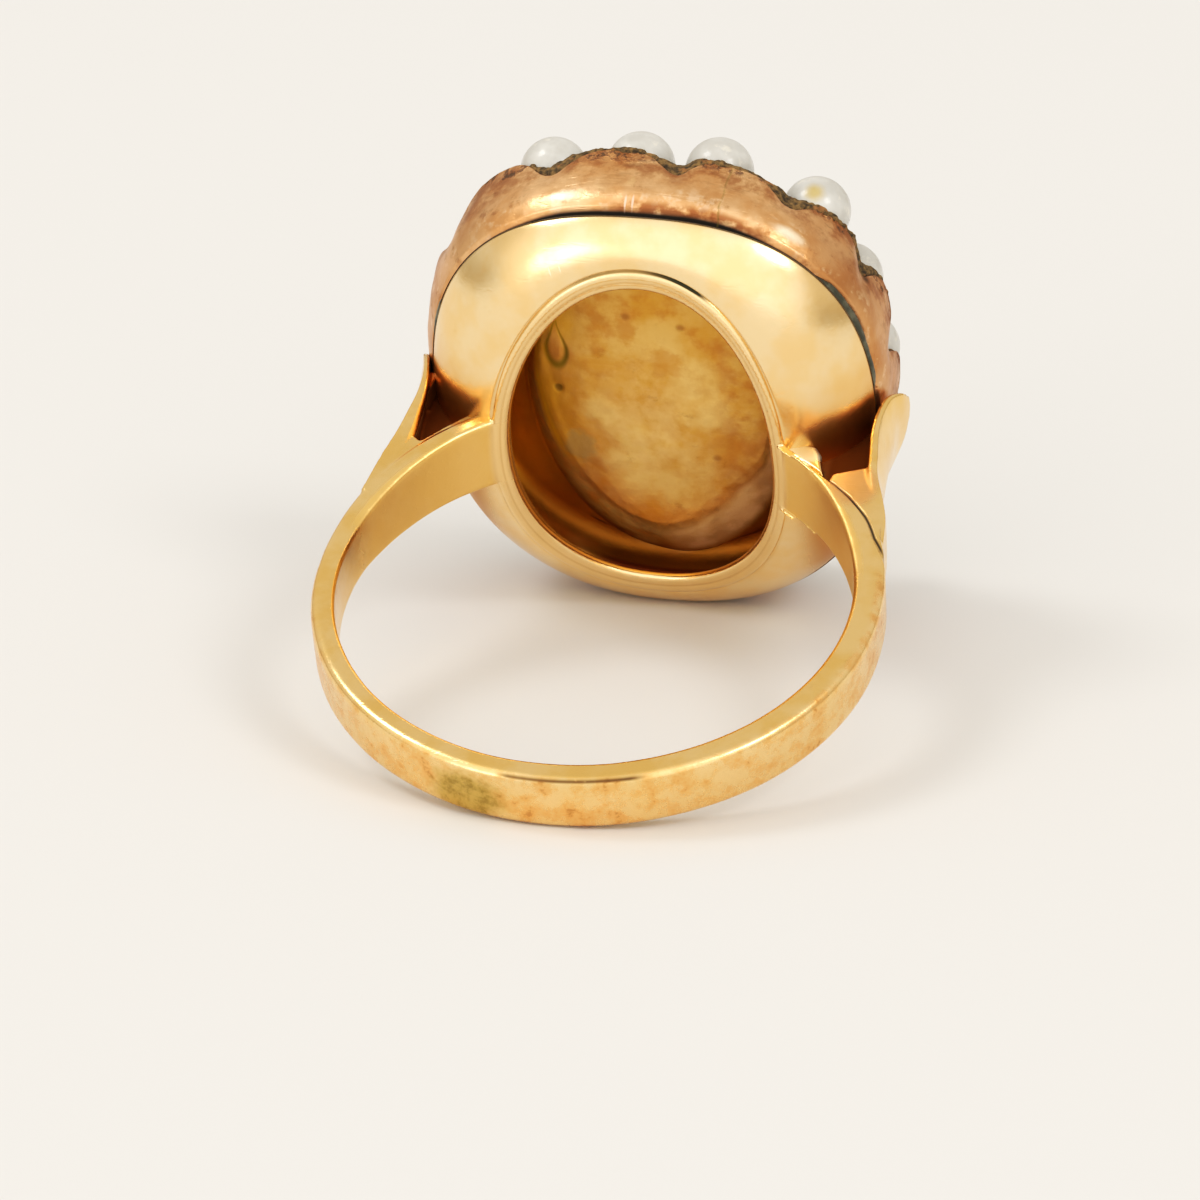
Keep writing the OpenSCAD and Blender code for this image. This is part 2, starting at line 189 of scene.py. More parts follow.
@dataclass(frozen=True)
class Outline:
    """A rounded-square outline across the head."""

    half_x: float
    half_z: float
    power: float
    shift: float = 0.0
    rounder: tuple[float, float] = (0.0, 0.0)

    def at(self, turn: Array) -> Array:
        """Gives the outline's points.

        Args:
            turn: Angles round the outline in radians.

        Returns:
            x and z at each angle.
        """
        cosine, sine = np.cos(turn), np.sin(turn)
        extra = np.where(sine < 0, np.where(cosine < 0, self.rounder[0], self.rounder[1]), 0)
        power = 2 / (self.power - extra)
        x = self.shift + self.half_x * signed_power(cosine, power)
        return np.stack([x, self.half_z * signed_power(sine, power)], -1)

    def inset(self, depth: float) -> "Outline":
        """The outline moved inward by a depth."""
        return Outline(self.half_x - depth, self.half_z - depth, self.power, self.shift, self.rounder)

    def toward(self, other: "Outline", share: float) -> "Outline":
        """Gives the outline part of the way to another one.

        Args:
            other: The other outline.
            share: 0 for this one and 1 for the other.

        Returns:
            The outline between them.
        """
        mine = np.array([self.half_x, self.half_z, self.power, self.shift, *self.rounder])
        its = np.array([other.half_x, other.half_z, other.power, other.shift, *other.rounder])
        a, b, n, s, left, right = mine + (its - mine) * share
        return Outline(a, b, n, s, (left, right))


def turns(sides: int) -> Array:
    """Even angles round an outline, in radians."""
    return (np.arange(sides) + 0.5) * 2 * math.pi / sides


def raised(flat: Array, depth: Array | float) -> Array:
    """Puts x and z at a distance from the finger axis: rows of x, y and z."""
    return np.stack([flat[..., 0], np.broadcast_to(depth, flat.shape[:-1]), flat[..., 1]], -1)


def outward(flat: Array) -> Array:
    """Directions from the head's middle to each x and z, all one unit long."""
    return flat / np.linalg.norm(flat, axis=1)[:, None]


@dataclass(frozen=True)
class Head:
    """Outlines and levels that the parts of the head share."""

    opening: Outline = Outline(4.6, 6.4, 2.09)
    wire: Outline = Outline(5.14, 7.17, 2.09)
    seam: Outline = Outline(7.84, 8.5, 2.55, 0.0, (0.45, 0.22))
    pearl_line: Outline = Outline(7.0, 7.85, 2.5)
    window: Outline = Outline(5.1, 5.95, 2.6)
    saddle_r: float = 8.97
    seam_y: float = 10.27
    border_y: float = 10.32
    floor_y: float = 12.67
    shelf_y: float = 12.17
    pearl_y: float = 13.92
    pearl_r: float = 1.2

    def saddle(self, x: Array) -> Array:
        """Distance of the cup's back edge from the finger axis."""
        return np.sqrt(self.saddle_r ** 2 - x * x)


HEAD = Head()


class Surface:
    """Grows a mesh from rows of points, in ring millimetres."""

    def __init__(self) -> None:
        """Starts with nothing."""
        self.points: list[Array] = []
        self.faces: list[list[int]] = []
        self.count = 0

    def add(self, points: Array) -> Array:
        """Adds points.

        Args:
            points: The points, shaped (..., 3).

        Returns:
            Their numbers, in the same shape.
        """
        number = points.reshape(-1, 3).shape[0]
        self.points.append(points.reshape(-1, 3))
        index = self.count + np.arange(number)
        self.count += number
        return index.reshape(points.shape[:-1])

    def loft(self, rows: Array, wrap: bool = False, caps: bool = False) -> None:
        """Joins closed rows of points by four-sided faces.

        Args:
            rows: Points shaped (rows, sides, 3).
            wrap: Joins the last row to the first.
            caps: Closes the first and the last row.
        """
        index = self.add(rows)
        first = index if wrap else index[:-1]
        second = np.roll(index, -1, 0) if wrap else index[1:]
        quads = np.stack([first, np.roll(first, -1, 1), np.roll(second, -1, 1), second], -1)
        self.faces += quads.reshape(-1, 4).tolist()
        for row in (0, -1) if caps else ():
            middle = self.add(rows[row].mean(0)[None])[0]
            ends = np.stack([index[row], np.roll(index[row], -1)], -1).tolist()
            self.faces += [[a, b, middle] if row else [b, a, middle] for a, b in ends]

    def ball(self, centre: Sequence[float], radius: float, sides: int = 32) -> None:
        """Adds a closed ball.

        Args:
            centre: Its middle.
            radius: Its radius.
            sides: How many sides go round it.
        """
        rise = np.linspace(-0.48, 0.48, sides // 2) * math.pi
        turn = turns(sides)
        ring = np.stack([np.cos(turn), np.zeros(sides), np.sin(turn)], -1)
        rows = [ring * math.cos(a) * radius + [0, math.sin(a) * radius, 0] for a in rise]
        self.loft(np.array(rows) + centre, caps=True)

    def mesh(self, name: str) -> bpy.types.Mesh:
        """Makes the mesh, with its faces turned outward.

        Args:
            name: Name of the mesh.

        Returns:
            The mesh, still in ring millimetres.
        """
        made = bpy.data.meshes.new(name)
        made.from_pydata(np.concatenate(self.points).tolist(), [], self.faces)
        edit = bmesh.new()
        edit.from_mesh(made)
        bmesh.ops.recalc_face_normals(edit, faces=edit.faces[:])
        edit.to_mesh(made)
        edit.free()
        made.shade_smooth()
        return made


def lofted(name: str, rows: Array | list[Array], caps: bool = False) -> bpy.types.Mesh:
    """Makes a mesh of one form.

    Args:
        name: Name of the mesh.
        rows: Its closed rows of points, shaped (rows, sides, 3).
        caps: Closes the first and the last row, which are joined to each other without it.

    Returns:
        The mesh, still in ring millimetres.
    """
    form = Surface()
    form.loft(np.array(rows), wrap=not caps, caps=caps)
    return form.mesh(name)


def modified(mesh: bpy.types.Mesh, *steps: tuple[str, dict[str, Any]]) -> bpy.types.Mesh:
    """Runs a mesh through modifiers.

    Args:
        mesh: The mesh.
        steps: Blender's name of each modifier, with its settings.

    Returns:
        The new mesh.
    """
    holder = bpy.data.objects.new("modified", mesh)
    bpy.context.scene.collection.objects.link(holder)
    for kind, settings in steps:
        modifier = holder.modifiers.new(kind, kind)
        for name, value in settings.items():
            setattr(modifier, name, value)
    bpy.context.view_layer.update()
    done = bpy.data.meshes.new_from_object(holder.evaluated_get(bpy.context.evaluated_depsgraph_get()))
    bpy.data.objects.remove(holder)
    return done


def fused(mesh: bpy.types.Mesh, voxel: float, passes: int) -> bpy.types.Mesh:
    """Melts overlapping forms into one skin and softens it.

    Args:
        mesh: Closed forms in millimetres.
        voxel: Size of the cells that the skin is made from, in millimetres.
        passes: How many times the skin is smoothed.

    Returns:
        The new mesh, in millimetres.
    """
    soften = {"factor": 0.5, "iterations": passes}
    return modified(mesh, ("REMESH", {"mode": "VOXEL", "voxel_size": voxel}), ("SMOOTH", soften))


def thinned(mesh: bpy.types.Mesh, triangles: int) -> bpy.types.Mesh:
    """Merges the flattest faces until a count is reached.

    Args:
        mesh: A dense mesh.
        triangles: The most triangles to keep.

    Returns:
        The lighter mesh.
    """
    mesh.calc_loop_triangles()
    share = triangles / max(1, len(mesh.loop_triangles))
    if share >= 1:
        return mesh
    return modified(mesh, ("DECIMATE", {"ratio": share}))


def read_points(mesh: bpy.types.Mesh) -> tuple[Array, Array]:
    """Reads a mesh's points and normals.

    Args:
        mesh: The mesh.

    Returns:
        Both, each shaped (count, 3).
    """
    points = np.zeros(len(mesh.vertices) * 3, np.float32)
    normals = np.zeros(len(mesh.vertices) * 3, np.float32)
    mesh.vertices.foreach_get("co", points)
    mesh.vertex_normals.foreach_get("vector", normals)
    return points.reshape(-1, 3).astype(float), normals.reshape(-1, 3).astype(float)


def write_points(mesh: bpy.types.Mesh, points: Array) -> None:
    """Moves a mesh's points."""
    mesh.vertices.foreach_set("co", points.astype(np.float32).ravel())
    mesh.update()


@dataclass
class Part:
    """A part of the ring, built in the ring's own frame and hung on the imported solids."""

    ring: RingFrame

    def put(
        self,
        mesh: bpy.types.Mesh,
        name: str,
        material: bpy.types.Material,
        slot: str,
        *nodes: str,
    ) -> None:
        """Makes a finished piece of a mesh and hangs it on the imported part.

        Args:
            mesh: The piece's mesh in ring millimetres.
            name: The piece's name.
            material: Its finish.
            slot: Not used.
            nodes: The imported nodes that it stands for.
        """
        mesh.transform(self.ring.matrix)
        mesh.name = name
        mesh.materials.clear()
        mesh.materials.append(material)
        mesh.shade_smooth()
        piece = bpy.data.objects.new(name, mesh)
        bpy.context.scene.collection.objects.link(piece)
        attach(piece, "root")
        if nodes:
            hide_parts(*nodes)
        LOG.info("%s: %d faces", name, len(mesh.polygons))


class Field:
    """A number that varies over a surface, which takes Python's operators."""

    def __init__(self, graph: "Graph", socket: bpy.types.NodeSocket) -> None:
        """Wraps a socket.

        Args:
            graph: The material that the socket is in.
            socket: An output socket that carries a number.
        """
        self.graph = graph
        self.socket = socket

    def math(self, operation: str, *others: "Field | float", first: bool = True) -> "Field":
        """Adds one Math node.

        Args:
            operation: Blender's name of the operation.
            others: The other values.
            first: Whether this value comes first.

        Returns:
            The result.
        """
        values = [self, *others] if first else [*others, self]
        node = self.graph.node("ShaderNodeMath", {"operation": operation}, dict(enumerate(values)))
        return Field(self.graph, node.outputs[0])

    def __add__(self, other: "Field | float") -> "Field":
        """self + other."""
        return self.math("ADD", other)

    __radd__ = __add__

    def __sub__(self, other: "Field | float") -> "Field":
        """self - other."""
        return self.math("SUBTRACT", other)

    def __rsub__(self, other: float) -> "Field":
        """other - self."""
        return self.math("SUBTRACT", other, first=False)

    def __mul__(self, other: "Field | float") -> "Field":
        """self * other."""
        return self.math("MULTIPLY", other)

    __rmul__ = __mul__

    def __truediv__(self, other: "Field | float") -> "Field":
        """self / other."""
        return self.math("DIVIDE", other)

    def __rtruediv__(self, other: float) -> "Field":
        """other / self."""
        return self.math("DIVIDE", other, first=False)

    def __pow__(self, other: "Field | float") -> "Field":
        """self ** other."""
        return self.math("POWER", other)

    def __abs__(self) -> "Field":
        """abs(self)."""
        return self.math("ABSOLUTE")

    def least(self, other: "Field | float") -> "Field":
        """The smaller of the two."""
        return self.math("MINIMUM", other)

    def most(self, other: "Field | float") -> "Field":
        """The larger of the two."""
        return self.math("MAXIMUM", other)

    def between(self, low: float, high: float) -> "Field":
        """Rises smoothly from 0 at low to 1 at high.

        Args:
            low: Where the rise starts.
            high: Where it ends. It may be below low, for a fall.

        Returns:
            The risen share.
        """
        ends = (low, high, 0.0, 1.0) if low < high else (high, low, 1.0, 0.0)
        settings = {"interpolation_type": "SMOOTHSTEP"}
        node = self.graph.node("ShaderNodeMapRange", settings, {0: self, **dict(enumerate(ends, 1))})
        return Field(self.graph, node.outputs[0])

    def band(self, middle: float, half: float) -> "Field":
        """1 at the middle, falling to 0 at half away from it."""
        return abs(self - middle).between(half, 0.0)


Value = Field | bpy.types.NodeSocket | float | tuple


class Nodes:
    """A tree of shader nodes."""

    def __init__(self, tree: bpy.types.NodeTree) -> None:
        """Wraps a tree."""
        self.tree = tree

    def node(
        self,
        kind: str,
        settings: dict[str, Any] | None = None,
        inputs: dict[int | str, Value] | None = None,
    ) -> bpy.types.Node:
        """Adds one node.

        Args:
            kind: Blender's name of the node's type.
            settings: Its settings, which are set first. "stops" are a ramp's stops.
            inputs: Value or link of each socket, by number or name.

        Returns:
            The node.
        """
        made = self.tree.nodes.new(kind)
        for name, value in (settings or {}).items():
            if name == "stops":
                ramp = made.color_ramp
                while len(ramp.elements) < len(value):
                    ramp.elements.new(0.5)
                for stop, (place, colour) in zip(ramp.elements, value):
                    stop.position = place
                    stop.color = (*colour, 1.0)
            else:
                setattr(made, name, value)
        for name, value in (inputs or {}).items():
            socket = made.inputs[name]
            if isinstance(value, Field):
                self.tree.links.new(value.socket, socket)
            elif isinstance(value, bpy.types.NodeSocket):
                self.tree.links.new(value, socket)
            elif isinstance(value, tuple) and socket.type == "RGBA":
                socket.default_value = (*value, 1.0)
            else:
                socket.default_value = value
        return made


class Graph(Nodes):
    """The nodes of one material, in ring millimetres."""

    def __init__(self, name: str, ring: RingFrame) -> None:
        """Starts a material.

        Args:
            name: Name of the finish.
            ring: The ring's frame, which gives the surface's millimetres.
        """
        self.material = bpy.data.materials.new(name)
        self.material.use_nodes = True
        super().__init__(self.material.node_tree)
        self.tree.nodes.clear()
        coordinates = self.node("ShaderNodeTexCoord")
        placing = {1: tuple(ring.origin), 2: (ring.tilt, 0.0, 0.0), 3: (MM, MM, MM)}
        mapping = self.node(
            "ShaderNodeMapping", {"vector_type": "TEXTURE"}, {0: coordinates.outputs["Object"], **placing}
        )
        self.point = mapping.outputs[0]
        split = self.node("ShaderNodeSeparateXYZ", None, {0: self.point})
        self.x, self.y, self.z = (Field(self, s) for s in split.outputs)

    def stretched(self, turn: Triple, scale: Triple) -> Any:
        """The surface's millimetres turned and stretched, for a pattern with a direction."""
        return self.node("ShaderNodeMapping", None, {0: self.point, 2: turn, 3: scale}).outputs[0]

    def noise(self, size: float, detail: float = 3.0, rough: float = 0.55, at: Any = None) -> Field:
        """Adds a cloudy pattern.

        Args:
            size: Size of its largest clouds in millimetres.
            detail: How many finer patterns are laid over it.
            rough: How strong the finer ones are.
            at: Where it is read, or None for the surface's millimetres.

        Returns:
            The pattern, from 0 to 1.
        """
        inputs = {"Vector": at or self.point, "Scale": 1 / size, "Detail": detail, "Roughness": rough}
        return Field(self, self.node("ShaderNodeTexNoise", None, inputs).outputs[0])

    def cells(self, size: float, feature: str = "F1", at: Any = None) -> Field:
        """Adds a pattern of cells.

        Args:
            size: Size of a cell in millimetres.
            feature: Blender's name of what is measured.
            at: Where it is read, or None for the surface's millimetres.

        Returns:
            The distance, in cells.
        """
        inputs = {"Vector": at or self.point, "Scale": 1 / size}
        node = self.node("ShaderNodeTexVoronoi", {"feature": feature}, inputs)
        return Field(self, node.outputs["Distance"])

    def blend(self, share: Field | float, under: Value, over: Value) -> bpy.types.NodeSocket:
        """Lays one colour over another by a share."""
        node = self.node("ShaderNodeMix", {"data_type": "RGBA"}, {0: share, 6: under, 7: over})
        return node.outputs[2]

    def spot(self, centre: Sequence[float], size: Sequence[float]) -> Field:
        """A distance from a spot, which is 1 at its rim.

        Args:
            centre: Middle of the spot in ring millimetres.
            size: Its half sizes along x, y and z.

        Returns:
            0 in the middle and 1 at the rim.
        """
        squares = [((v - c) / s) ** 2.0 for v, c, s in zip((self.x, self.y, self.z), centre, size)]
        return (squares[0] + squares[1] + squares[2]) ** 0.5

    def ragged(self, centre: Sequence[float], size: Sequence[float], cloud: Sequence[float]) -> Field:
        """A distance from a spot with a ragged rim.

        Args:
            centre: Middle of the spot in ring millimetres.
            size: Its half sizes along x, y and z.
            cloud: Size and detail of the clouds that shift the rim, and how far they shift it.

        Returns:
            About 0 in the middle and 1 at the rim.
        """
        size_mm, detail, shift = cloud
        return self.spot(centre, size) + self.noise(size_mm, detail) * shift - shift / 2

    def finger_distance(self) -> Field:
        """Distance from the finger axis."""
        return (self.x ** 2.0 + self.y ** 2.0) ** 0.5

    def superellipse(self, outline: Outline) -> Field:
        """Measures how far out a point lies in an outline.

        Args:
            outline: The outline across the head.

        Returns:
            0 in the middle and 1 on the outline.
        """
        across = (abs(self.x - outline.shift) / outline.half_x) ** outline.power
        along = (abs(self.z) / outline.half_z) ** outline.power
        return (across + along) ** (1 / outline.power)


@dataclass(frozen=True)
class Mark:
    """A small soft stain: where it lies, how much of it is full, and what it looks like."""

    centre: Triple
    size: Triple
    full: float
    share: float
    colour: Colour
    rough: float
    metal: float


class Coat:
    """A finish while it is laid on: a colour, a gloss, how metallic it is, and its low relief."""

    def __init__(self, graph: Graph, colour: Value, rough: Field | float, metal: float) -> None:
        """Starts with one layer.

        Args:
            graph: The material.
            colour: Its first colour.
            rough: Its roughness.
            metal: 1 for bare metal and 0 for dirt or horn.
        """
        self.graph = graph
        self.colour = colour
        self.rough = rough
        self.metal: Field | float = metal
        self.reliefs: list[tuple[Field, float]] = []

    def stain(self, share: Field, colour: Value, rough: float, metal: float) -> None:
        """Lays a stain over part of the surface.

        Args:
            share: Where it lies, 0 to 1.
            colour: Its colour.
            rough: Its roughness.
            metal: How metallic it is.
        """
        self.colour = self.graph.blend(share, self.colour, colour)
        self.rough = share * rough + (1 - share) * self.rough
        self.metal = share * metal + (1 - share) * self.metal

    def mark(self, *marks: Mark) -> None:
        """Lays small stains.

        Args:
            marks: The stains, in order.
        """
        for m in marks:
            inside = self.graph.spot(m.centre, m.size).between(1.0, m.full)
            self.stain(inside * m.share, m.colour, m.rough, m.metal)

    def relief(self, height: Field, depth: float) -> None:
        """Adds low relief.

        Args:
            height: Its pattern, 0 to 1.
            depth: Its full height in millimetres.
        """
        self.reliefs.append((height, depth))

    def done(self, extras: dict[str, Value] | None = None) -> bpy.types.Material:
        """Builds the shader.

        Args:
            extras: Constant values of the shader's other sockets, if they aren't its own.

        Returns:
            The material.
        """
        inputs: dict[int | str, Value] = {
            "Base Color": self.colour,
            "Roughness": self.rough,
            "Metallic": self.metal,
            **(extras or {}),
        }
        if self.reliefs:
            total = self.reliefs[0][0] * self.reliefs[0][1]
            for height, depth in self.reliefs[1:]:
                total = total + height * depth
            bump = self.graph.node("ShaderNodeBump", None, {"Strength": 1.0, "Distance": MM, "Height": total})
            inputs["Normal"] = bump.outputs[0]
        shader = self.graph.node("ShaderNodeBsdfPrincipled", None, inputs)
        self.graph.node("ShaderNodeOutputMaterial", None, {0: shader.outputs[0]})
        return self.graph.material


@dataclass(frozen=True)
class GoldFinish:
    """Worn gold: its colours, its gloss, and how strongly it is scratched and tarnished."""

    name: str
    slot: str
    bright: Colour
    deep: Colour
    tarnish: Colour
    tarnished: float = 0.35
    rough: float = 0.3
    scratched: float = 0.5
    dented: float = 0.03

    def coat(self, ring: RingFrame, name: str) -> Coat:
        """Lays the gold's own layers: cloudy colour, tarnish, scratches and dents.

        Args:
            ring: The ring's frame.
            name: Name of the piece that it is for.

        Returns:
            The coat, ready for the piece's own marks.
        """
        graph = Graph(f"{self.name}_{name}", ring)
        clouds = graph.noise(1.6, 4.0)
        coat = Coat(graph, graph.blend(clouds.between(0.36, 0.66), self.bright, self.deep), self.rough, 1.0)
        fine = graph.noise(0.35, 5.0, 0.65)
        coat.rough = fine * 0.16 + (self.rough - 0.08)
        patches = graph.noise(0.9, 6.0, 0.68).between(0.66 - 0.2 * self.tarnished, 0.8 - 0.2 * self.tarnished)
        coat.stain(patches * self.tarnished, self.tarnish, 0.5, 0.85)
        for turn, size in (((0.3, 0.9, 0.4), 0.2), ((1.1, 0.2, 2.0), 0.26), ((2.0, 1.3, 0.9), 0.16)):
            lines = graph.noise(size, 1.0, 0.5, graph.stretched(turn, (0.08, 1.0, 1.0)))
            scratch = lines.between(0.66, 0.72) * self.scratched
            coat.relief(scratch, -0.006)
            coat.colour = graph.blend(scratch * 0.35, coat.colour, self.bright)
        coat.relief(graph.noise(0.9, 3.0), self.dented)
        coat.relief(fine, self.dented * 0.25)
        return coat


YELLOW_GOLD = GoldFinish(
    "yellow_gold",
    "yellow_gold",
    tone(250, 212, 150),
    tone(245, 200, 124),
    tone(210, 144, 64),
    tarnished=0.2,
    rough=0.2,
    scratched=0.25,
    dented=0.014,
)
POLISHED_GOLD = GoldFinish(
    "polished_gold",
    "yellow_gold",
    tone(251, 221, 172),
    tone(250, 211, 152),
    tone(226, 170, 96),
    tarnished=0.16,
    rough=0.2,
    scratched=0.1,
    dented=0.006,
)
ROSE_GOLD = GoldFinish(
    "rose_gold",
    "rose_gold",
    tone(244, 196, 148),
    tone(222, 164, 112),
    tone(136, 84, 42),
    tarnished=0.55,
    rough=0.32,
)
STAINED_GOLD = GoldFinish(
    "stained_gold",
    "stained_gold",
    tone(244, 208, 138),
    tone(226, 174, 88),
    tone(160, 102, 30),
    rough=0.4,
    scratched=0.2,
)

def lay_gap(coat: Coat) -> None:
    """Stains the dark gap beside the wire at the top of the opening, thin at first and then wide.

    Args:
        coat: The finish that is stained.
    """
    g = coat.graph
    lip = g.superellipse(HEAD.opening)
    upper = g.z.between(5.0, 6.0)
    wide = lip.band(1.12, 0.012) * g.x.between(-0.2, 1.4) * g.x.between(2.7, 1.7) * upper
    coat.stain((wide * 2.0).least(1.0), tone(46, 44, 12), 0.8, 0.1)
    thin = lip.band(1.118, 0.012) * g.x.between(-3.2, -1.6) * g.x.between(1.4, 0.4) * upper
    coat.stain(thin * 0.8, tone(110, 86, 36), 0.7, 0.4)


@dataclass
class Shank(Part):
    """The hoop, its straps, the leaf shoulders, their webs and the wire lip, melted into one skin."""

    finger_r: float = 8.6
    outer_r: float = 9.5
    shift: float = 0.09
    swell: float = 0.25
    end_turn: float = 33.6
    back_half: float = 1.05
    strap_half: float = 1.4
    outer_round: float = 0.3
    inner_round: float = 0.16
    lip_bed: float = 0.2
    least_strap: float = 0.16
    voxel: float = 0.05
    most_faces: int = 195000
    right_strap: Table = (
        (34.0, 8.86), (40.0, 8.95), (48.0, 9.12), (55.0, 9.31), (62.0, 9.45), (69.0, 9.46), (77.0, 9.72)
    )
    lip_profile: Table = (
        (0.0, 0.0), (0.03, 0.08), (0.12, 0.14), (0.26, 0.17), (0.4, 0.165), (0.47, 0.145), (0.54, 0.15),
        (0.66, 0.165), (0.78, 0.14), (0.9, 0.08), (1.0, 0.02), (1.06, -0.06),
    )
    leaf_rows: Table = (
        (2.0, 9.20, 9.34, 0.30, 0.30, 0.00),
        (2.8, 9.00, 9.20, 0.40, 0.36, 0.00),
        (3.6, 8.84, 9.13, 0.54, 0.42, 0.00),
        (4.6, 8.72, 9.05, 0.70, 0.50, 0.02),
        (5.6, 8.60, 8.83, 0.82, 0.48, 0.08),
        (6.6, 8.47, 8.60, 0.78, 0.44, 0.18),
        (7.6, 8.38, 8.54, 0.60, 0.40, 0.28),
        (8.6, 8.31, 8.50, 0.44, 0.37, 0.36),
        (9.6, 8.29, 8.50, 0.32, 0.34, 0.30),
        (10.5, 8.35, 8.54, 0.29, 0.31, 0.15),
        (11.2, 8.46, 8.66, 0.24, 0.26, 0.04),
        (11.9, 8.50, 8.74, 0.18, 0.18, 0.00),
    )
    leaf_outline: Table = (
        (2.3, 0.9, -0.6),
        (3.7, 1.02, -0.4),
        (4.6, 1.08, -0.1),
        (5.6, 1.16, 0.0),
        (6.6, 1.26, 0.0),
        (7.6, 1.38, 0.05),
        (8.6, 1.50, 0.15),
        (9.6, 1.57, 0.32),
        (10.3, 1.58, 0.45),
        (10.9, 1.46, 0.5),
        (11.4, 1.16, 0.45),
        (11.7, 0.8, 0.3),
        (11.85, 0.4, 0.1),
    )
    left_web: Table = (
        (-5.2, 7.5), (-5.7, 8.25), (-6.65, 7.25), (-7.4, 6.35), (-7.6, 6.55), (-8.3, 6.6), (-8.55, 5.6),
        (-8.65, 4.6), (-8.8, 3.6), (-8.6, 3.4), (-7.9, 5.0), (-7.0, 6.2), (-6.2, 6.9),
    )
    right_web: Table = (
        (6.83, 6.15), (7.66, 5.38), (8.38, 4.46), (8.8, 3.5), (9.0, 3.6), (8.9, 4.6), (8.65, 5.6),
        (8.35, 6.8), (7.98, 6.96), (6.92, 6.5),
    )
    backing: Table = (
        (8.2, 7.3), (8.05, 8.5), (8.03, 10.1), (7.5, 10.15), (7.2, 9.3), (6.4, 8.4), (5.5, 7.6), (5.6, 7.35),
        (6.3, 6.6), (7.4, 6.3),
    )
    left_tip: Table = ((-8.08, 8.7), (-8.16, 10.2), (-7.6, 10.1), (-7.75, 8.9))
    solder: Table = (
        (5.3, 7.3), (4.98, 7.6), (5.45, 7.85), (6.15, 7.8), (6.4, 7.4), (6.5, 6.9), (6.64, 6.3), (5.98, 6.75)
    )
    web_sizes: Triple = (-1.15, 1.15, 0.05)
    tip_sizes: Triple = (-1.2, 1.1, 0.03)
    solder_sizes: Triple = (0.1, 1.22, 0.14)
    backing_sizes: Triple = (-1.45, 0.3, 0.05)
    beads: Table = (
        (-5.36, 7.3, 1.27, 0.16),
        (-5.8, 7.7, 0.7, 0.3),
        (-5.6, 7.5, -1.1, 0.4),
    )
    tan: Mark = Mark((7.7, 5.9, 1.2), (1.1, 1.3, 0.4), 0.6, 0.6, tone(224, 164, 112), 0.4, 0.9)

    def outer(self, turn: Array, forward: float) -> Array:
        """Distance from the finger axis to the hoop's outer circle.

        Args:
            turn: Angle from the face of the head, in radians.
            forward: How far the circle is moved towards the head.

        Returns:
            The distance at each angle.
        """
        along = self.shift * np.sin(turn) + forward * np.cos(turn)
        return along + np.sqrt(self.outer_r ** 2 - self.shift ** 2 - forward ** 2 + along ** 2)

    def add_hoop(self, skin: Surface) -> None:
        """Adds the hoop, whose ends swell into straps and sink into the lip.

        Args:
            skin: What it is added to.
        """
        degrees = np.linspace(self.end_turn, 360 - self.end_turn, 480)
        turn = np.radians(degrees)
        end = np.minimum(degrees, 360 - degrees)
        inner = self.finger_r + 0.24 * eased(72.0, 35.5, end) + 0.07 * eased(35.4, self.end_turn, end)
        split_soft = self.outer_round - 0.22 * eased(42.0, 48.0, degrees) * eased(80.0, 73.0, degrees)
        outer = np.maximum(self.outer(turn, 0.0), self.outer(turn, self.swell))
        slim = np.array(self.right_strap).T
        trim = through(slim[0], slim[1], degrees) - 0.03 + 0.3 * eased(61.0, 68.0, degrees)
        trimmed = np.minimum(outer, trim)
        outer = np.maximum(np.where(degrees < slim[0][-1], trimmed, outer), inner + self.least_strap)
        face_y = self.outer_r * np.cos(turn)
        half = self.back_half + (self.strap_half - self.back_half) * np.clip((face_y - 2.0) / 5.4, 0, 1)
        outer = outer + 0.02 * flat_grain(np.outer(turn, (4.0, 0.0)), 2.5, 3.7, 2)
        corners = (
            (inner, -half, self.inner_round, 180),
            (outer, -half, self.outer_round, 270),
            (outer, half, split_soft, 0),
            (inner, half, self.inner_round, 90),
        )
        columns = []
        for radius, side, soft, start in corners:
            inward = 1 if radius is inner else -1
            up = 1 if start in (180, 270) else -1
            for angle in np.radians(np.linspace(start, start + 90, 7)):
                away = radius + inward * soft + soft * np.cos(angle)
                height = side + up * soft + soft * np.sin(angle)
                columns.append(np.stack([away * np.sin(turn), away * np.cos(turn), height], -1))
        skin.loft(np.stack(columns, 1), caps=True)

    def add_leaf(self, skin: Surface, side: int) -> None:
        """Adds one leaf shoulder, a thin curled plate from the hoop's outer face to the head.

        Args:
            skin: What it is added to.
            side: -1 for the left one and 1 for the right one.
        """
        table = np.array(self.leaf_rows).T
        plan = np.array(self.leaf_outline).T
        station = np.linspace(plan[0][0], plan[0][-1], 90)
        half = through(plan[0], plan[1], station)
        lag = through(plan[0], plan[2], station)
        across = np.linspace(-1, 1, 29)
        y = station[:, None] - lag[:, None] * across ** 2
        face = through(table[0], table[1 if side < 0 else 2], y)
        curl = through(table[0], table[5], y) * across ** 2
        thick = through(table[0], table[3 if side < 0 else 4], y) * (1 - 0.4 * across ** 8)
        z = half[:, None] * across + 0 * y
        front = np.stack([side * (face - curl), y, z], -1)
        back = np.stack([side * (face - curl - thick), y, z], -1)
        skin.loft(np.concatenate([front, back[:, ::-1]], 1), caps=True)

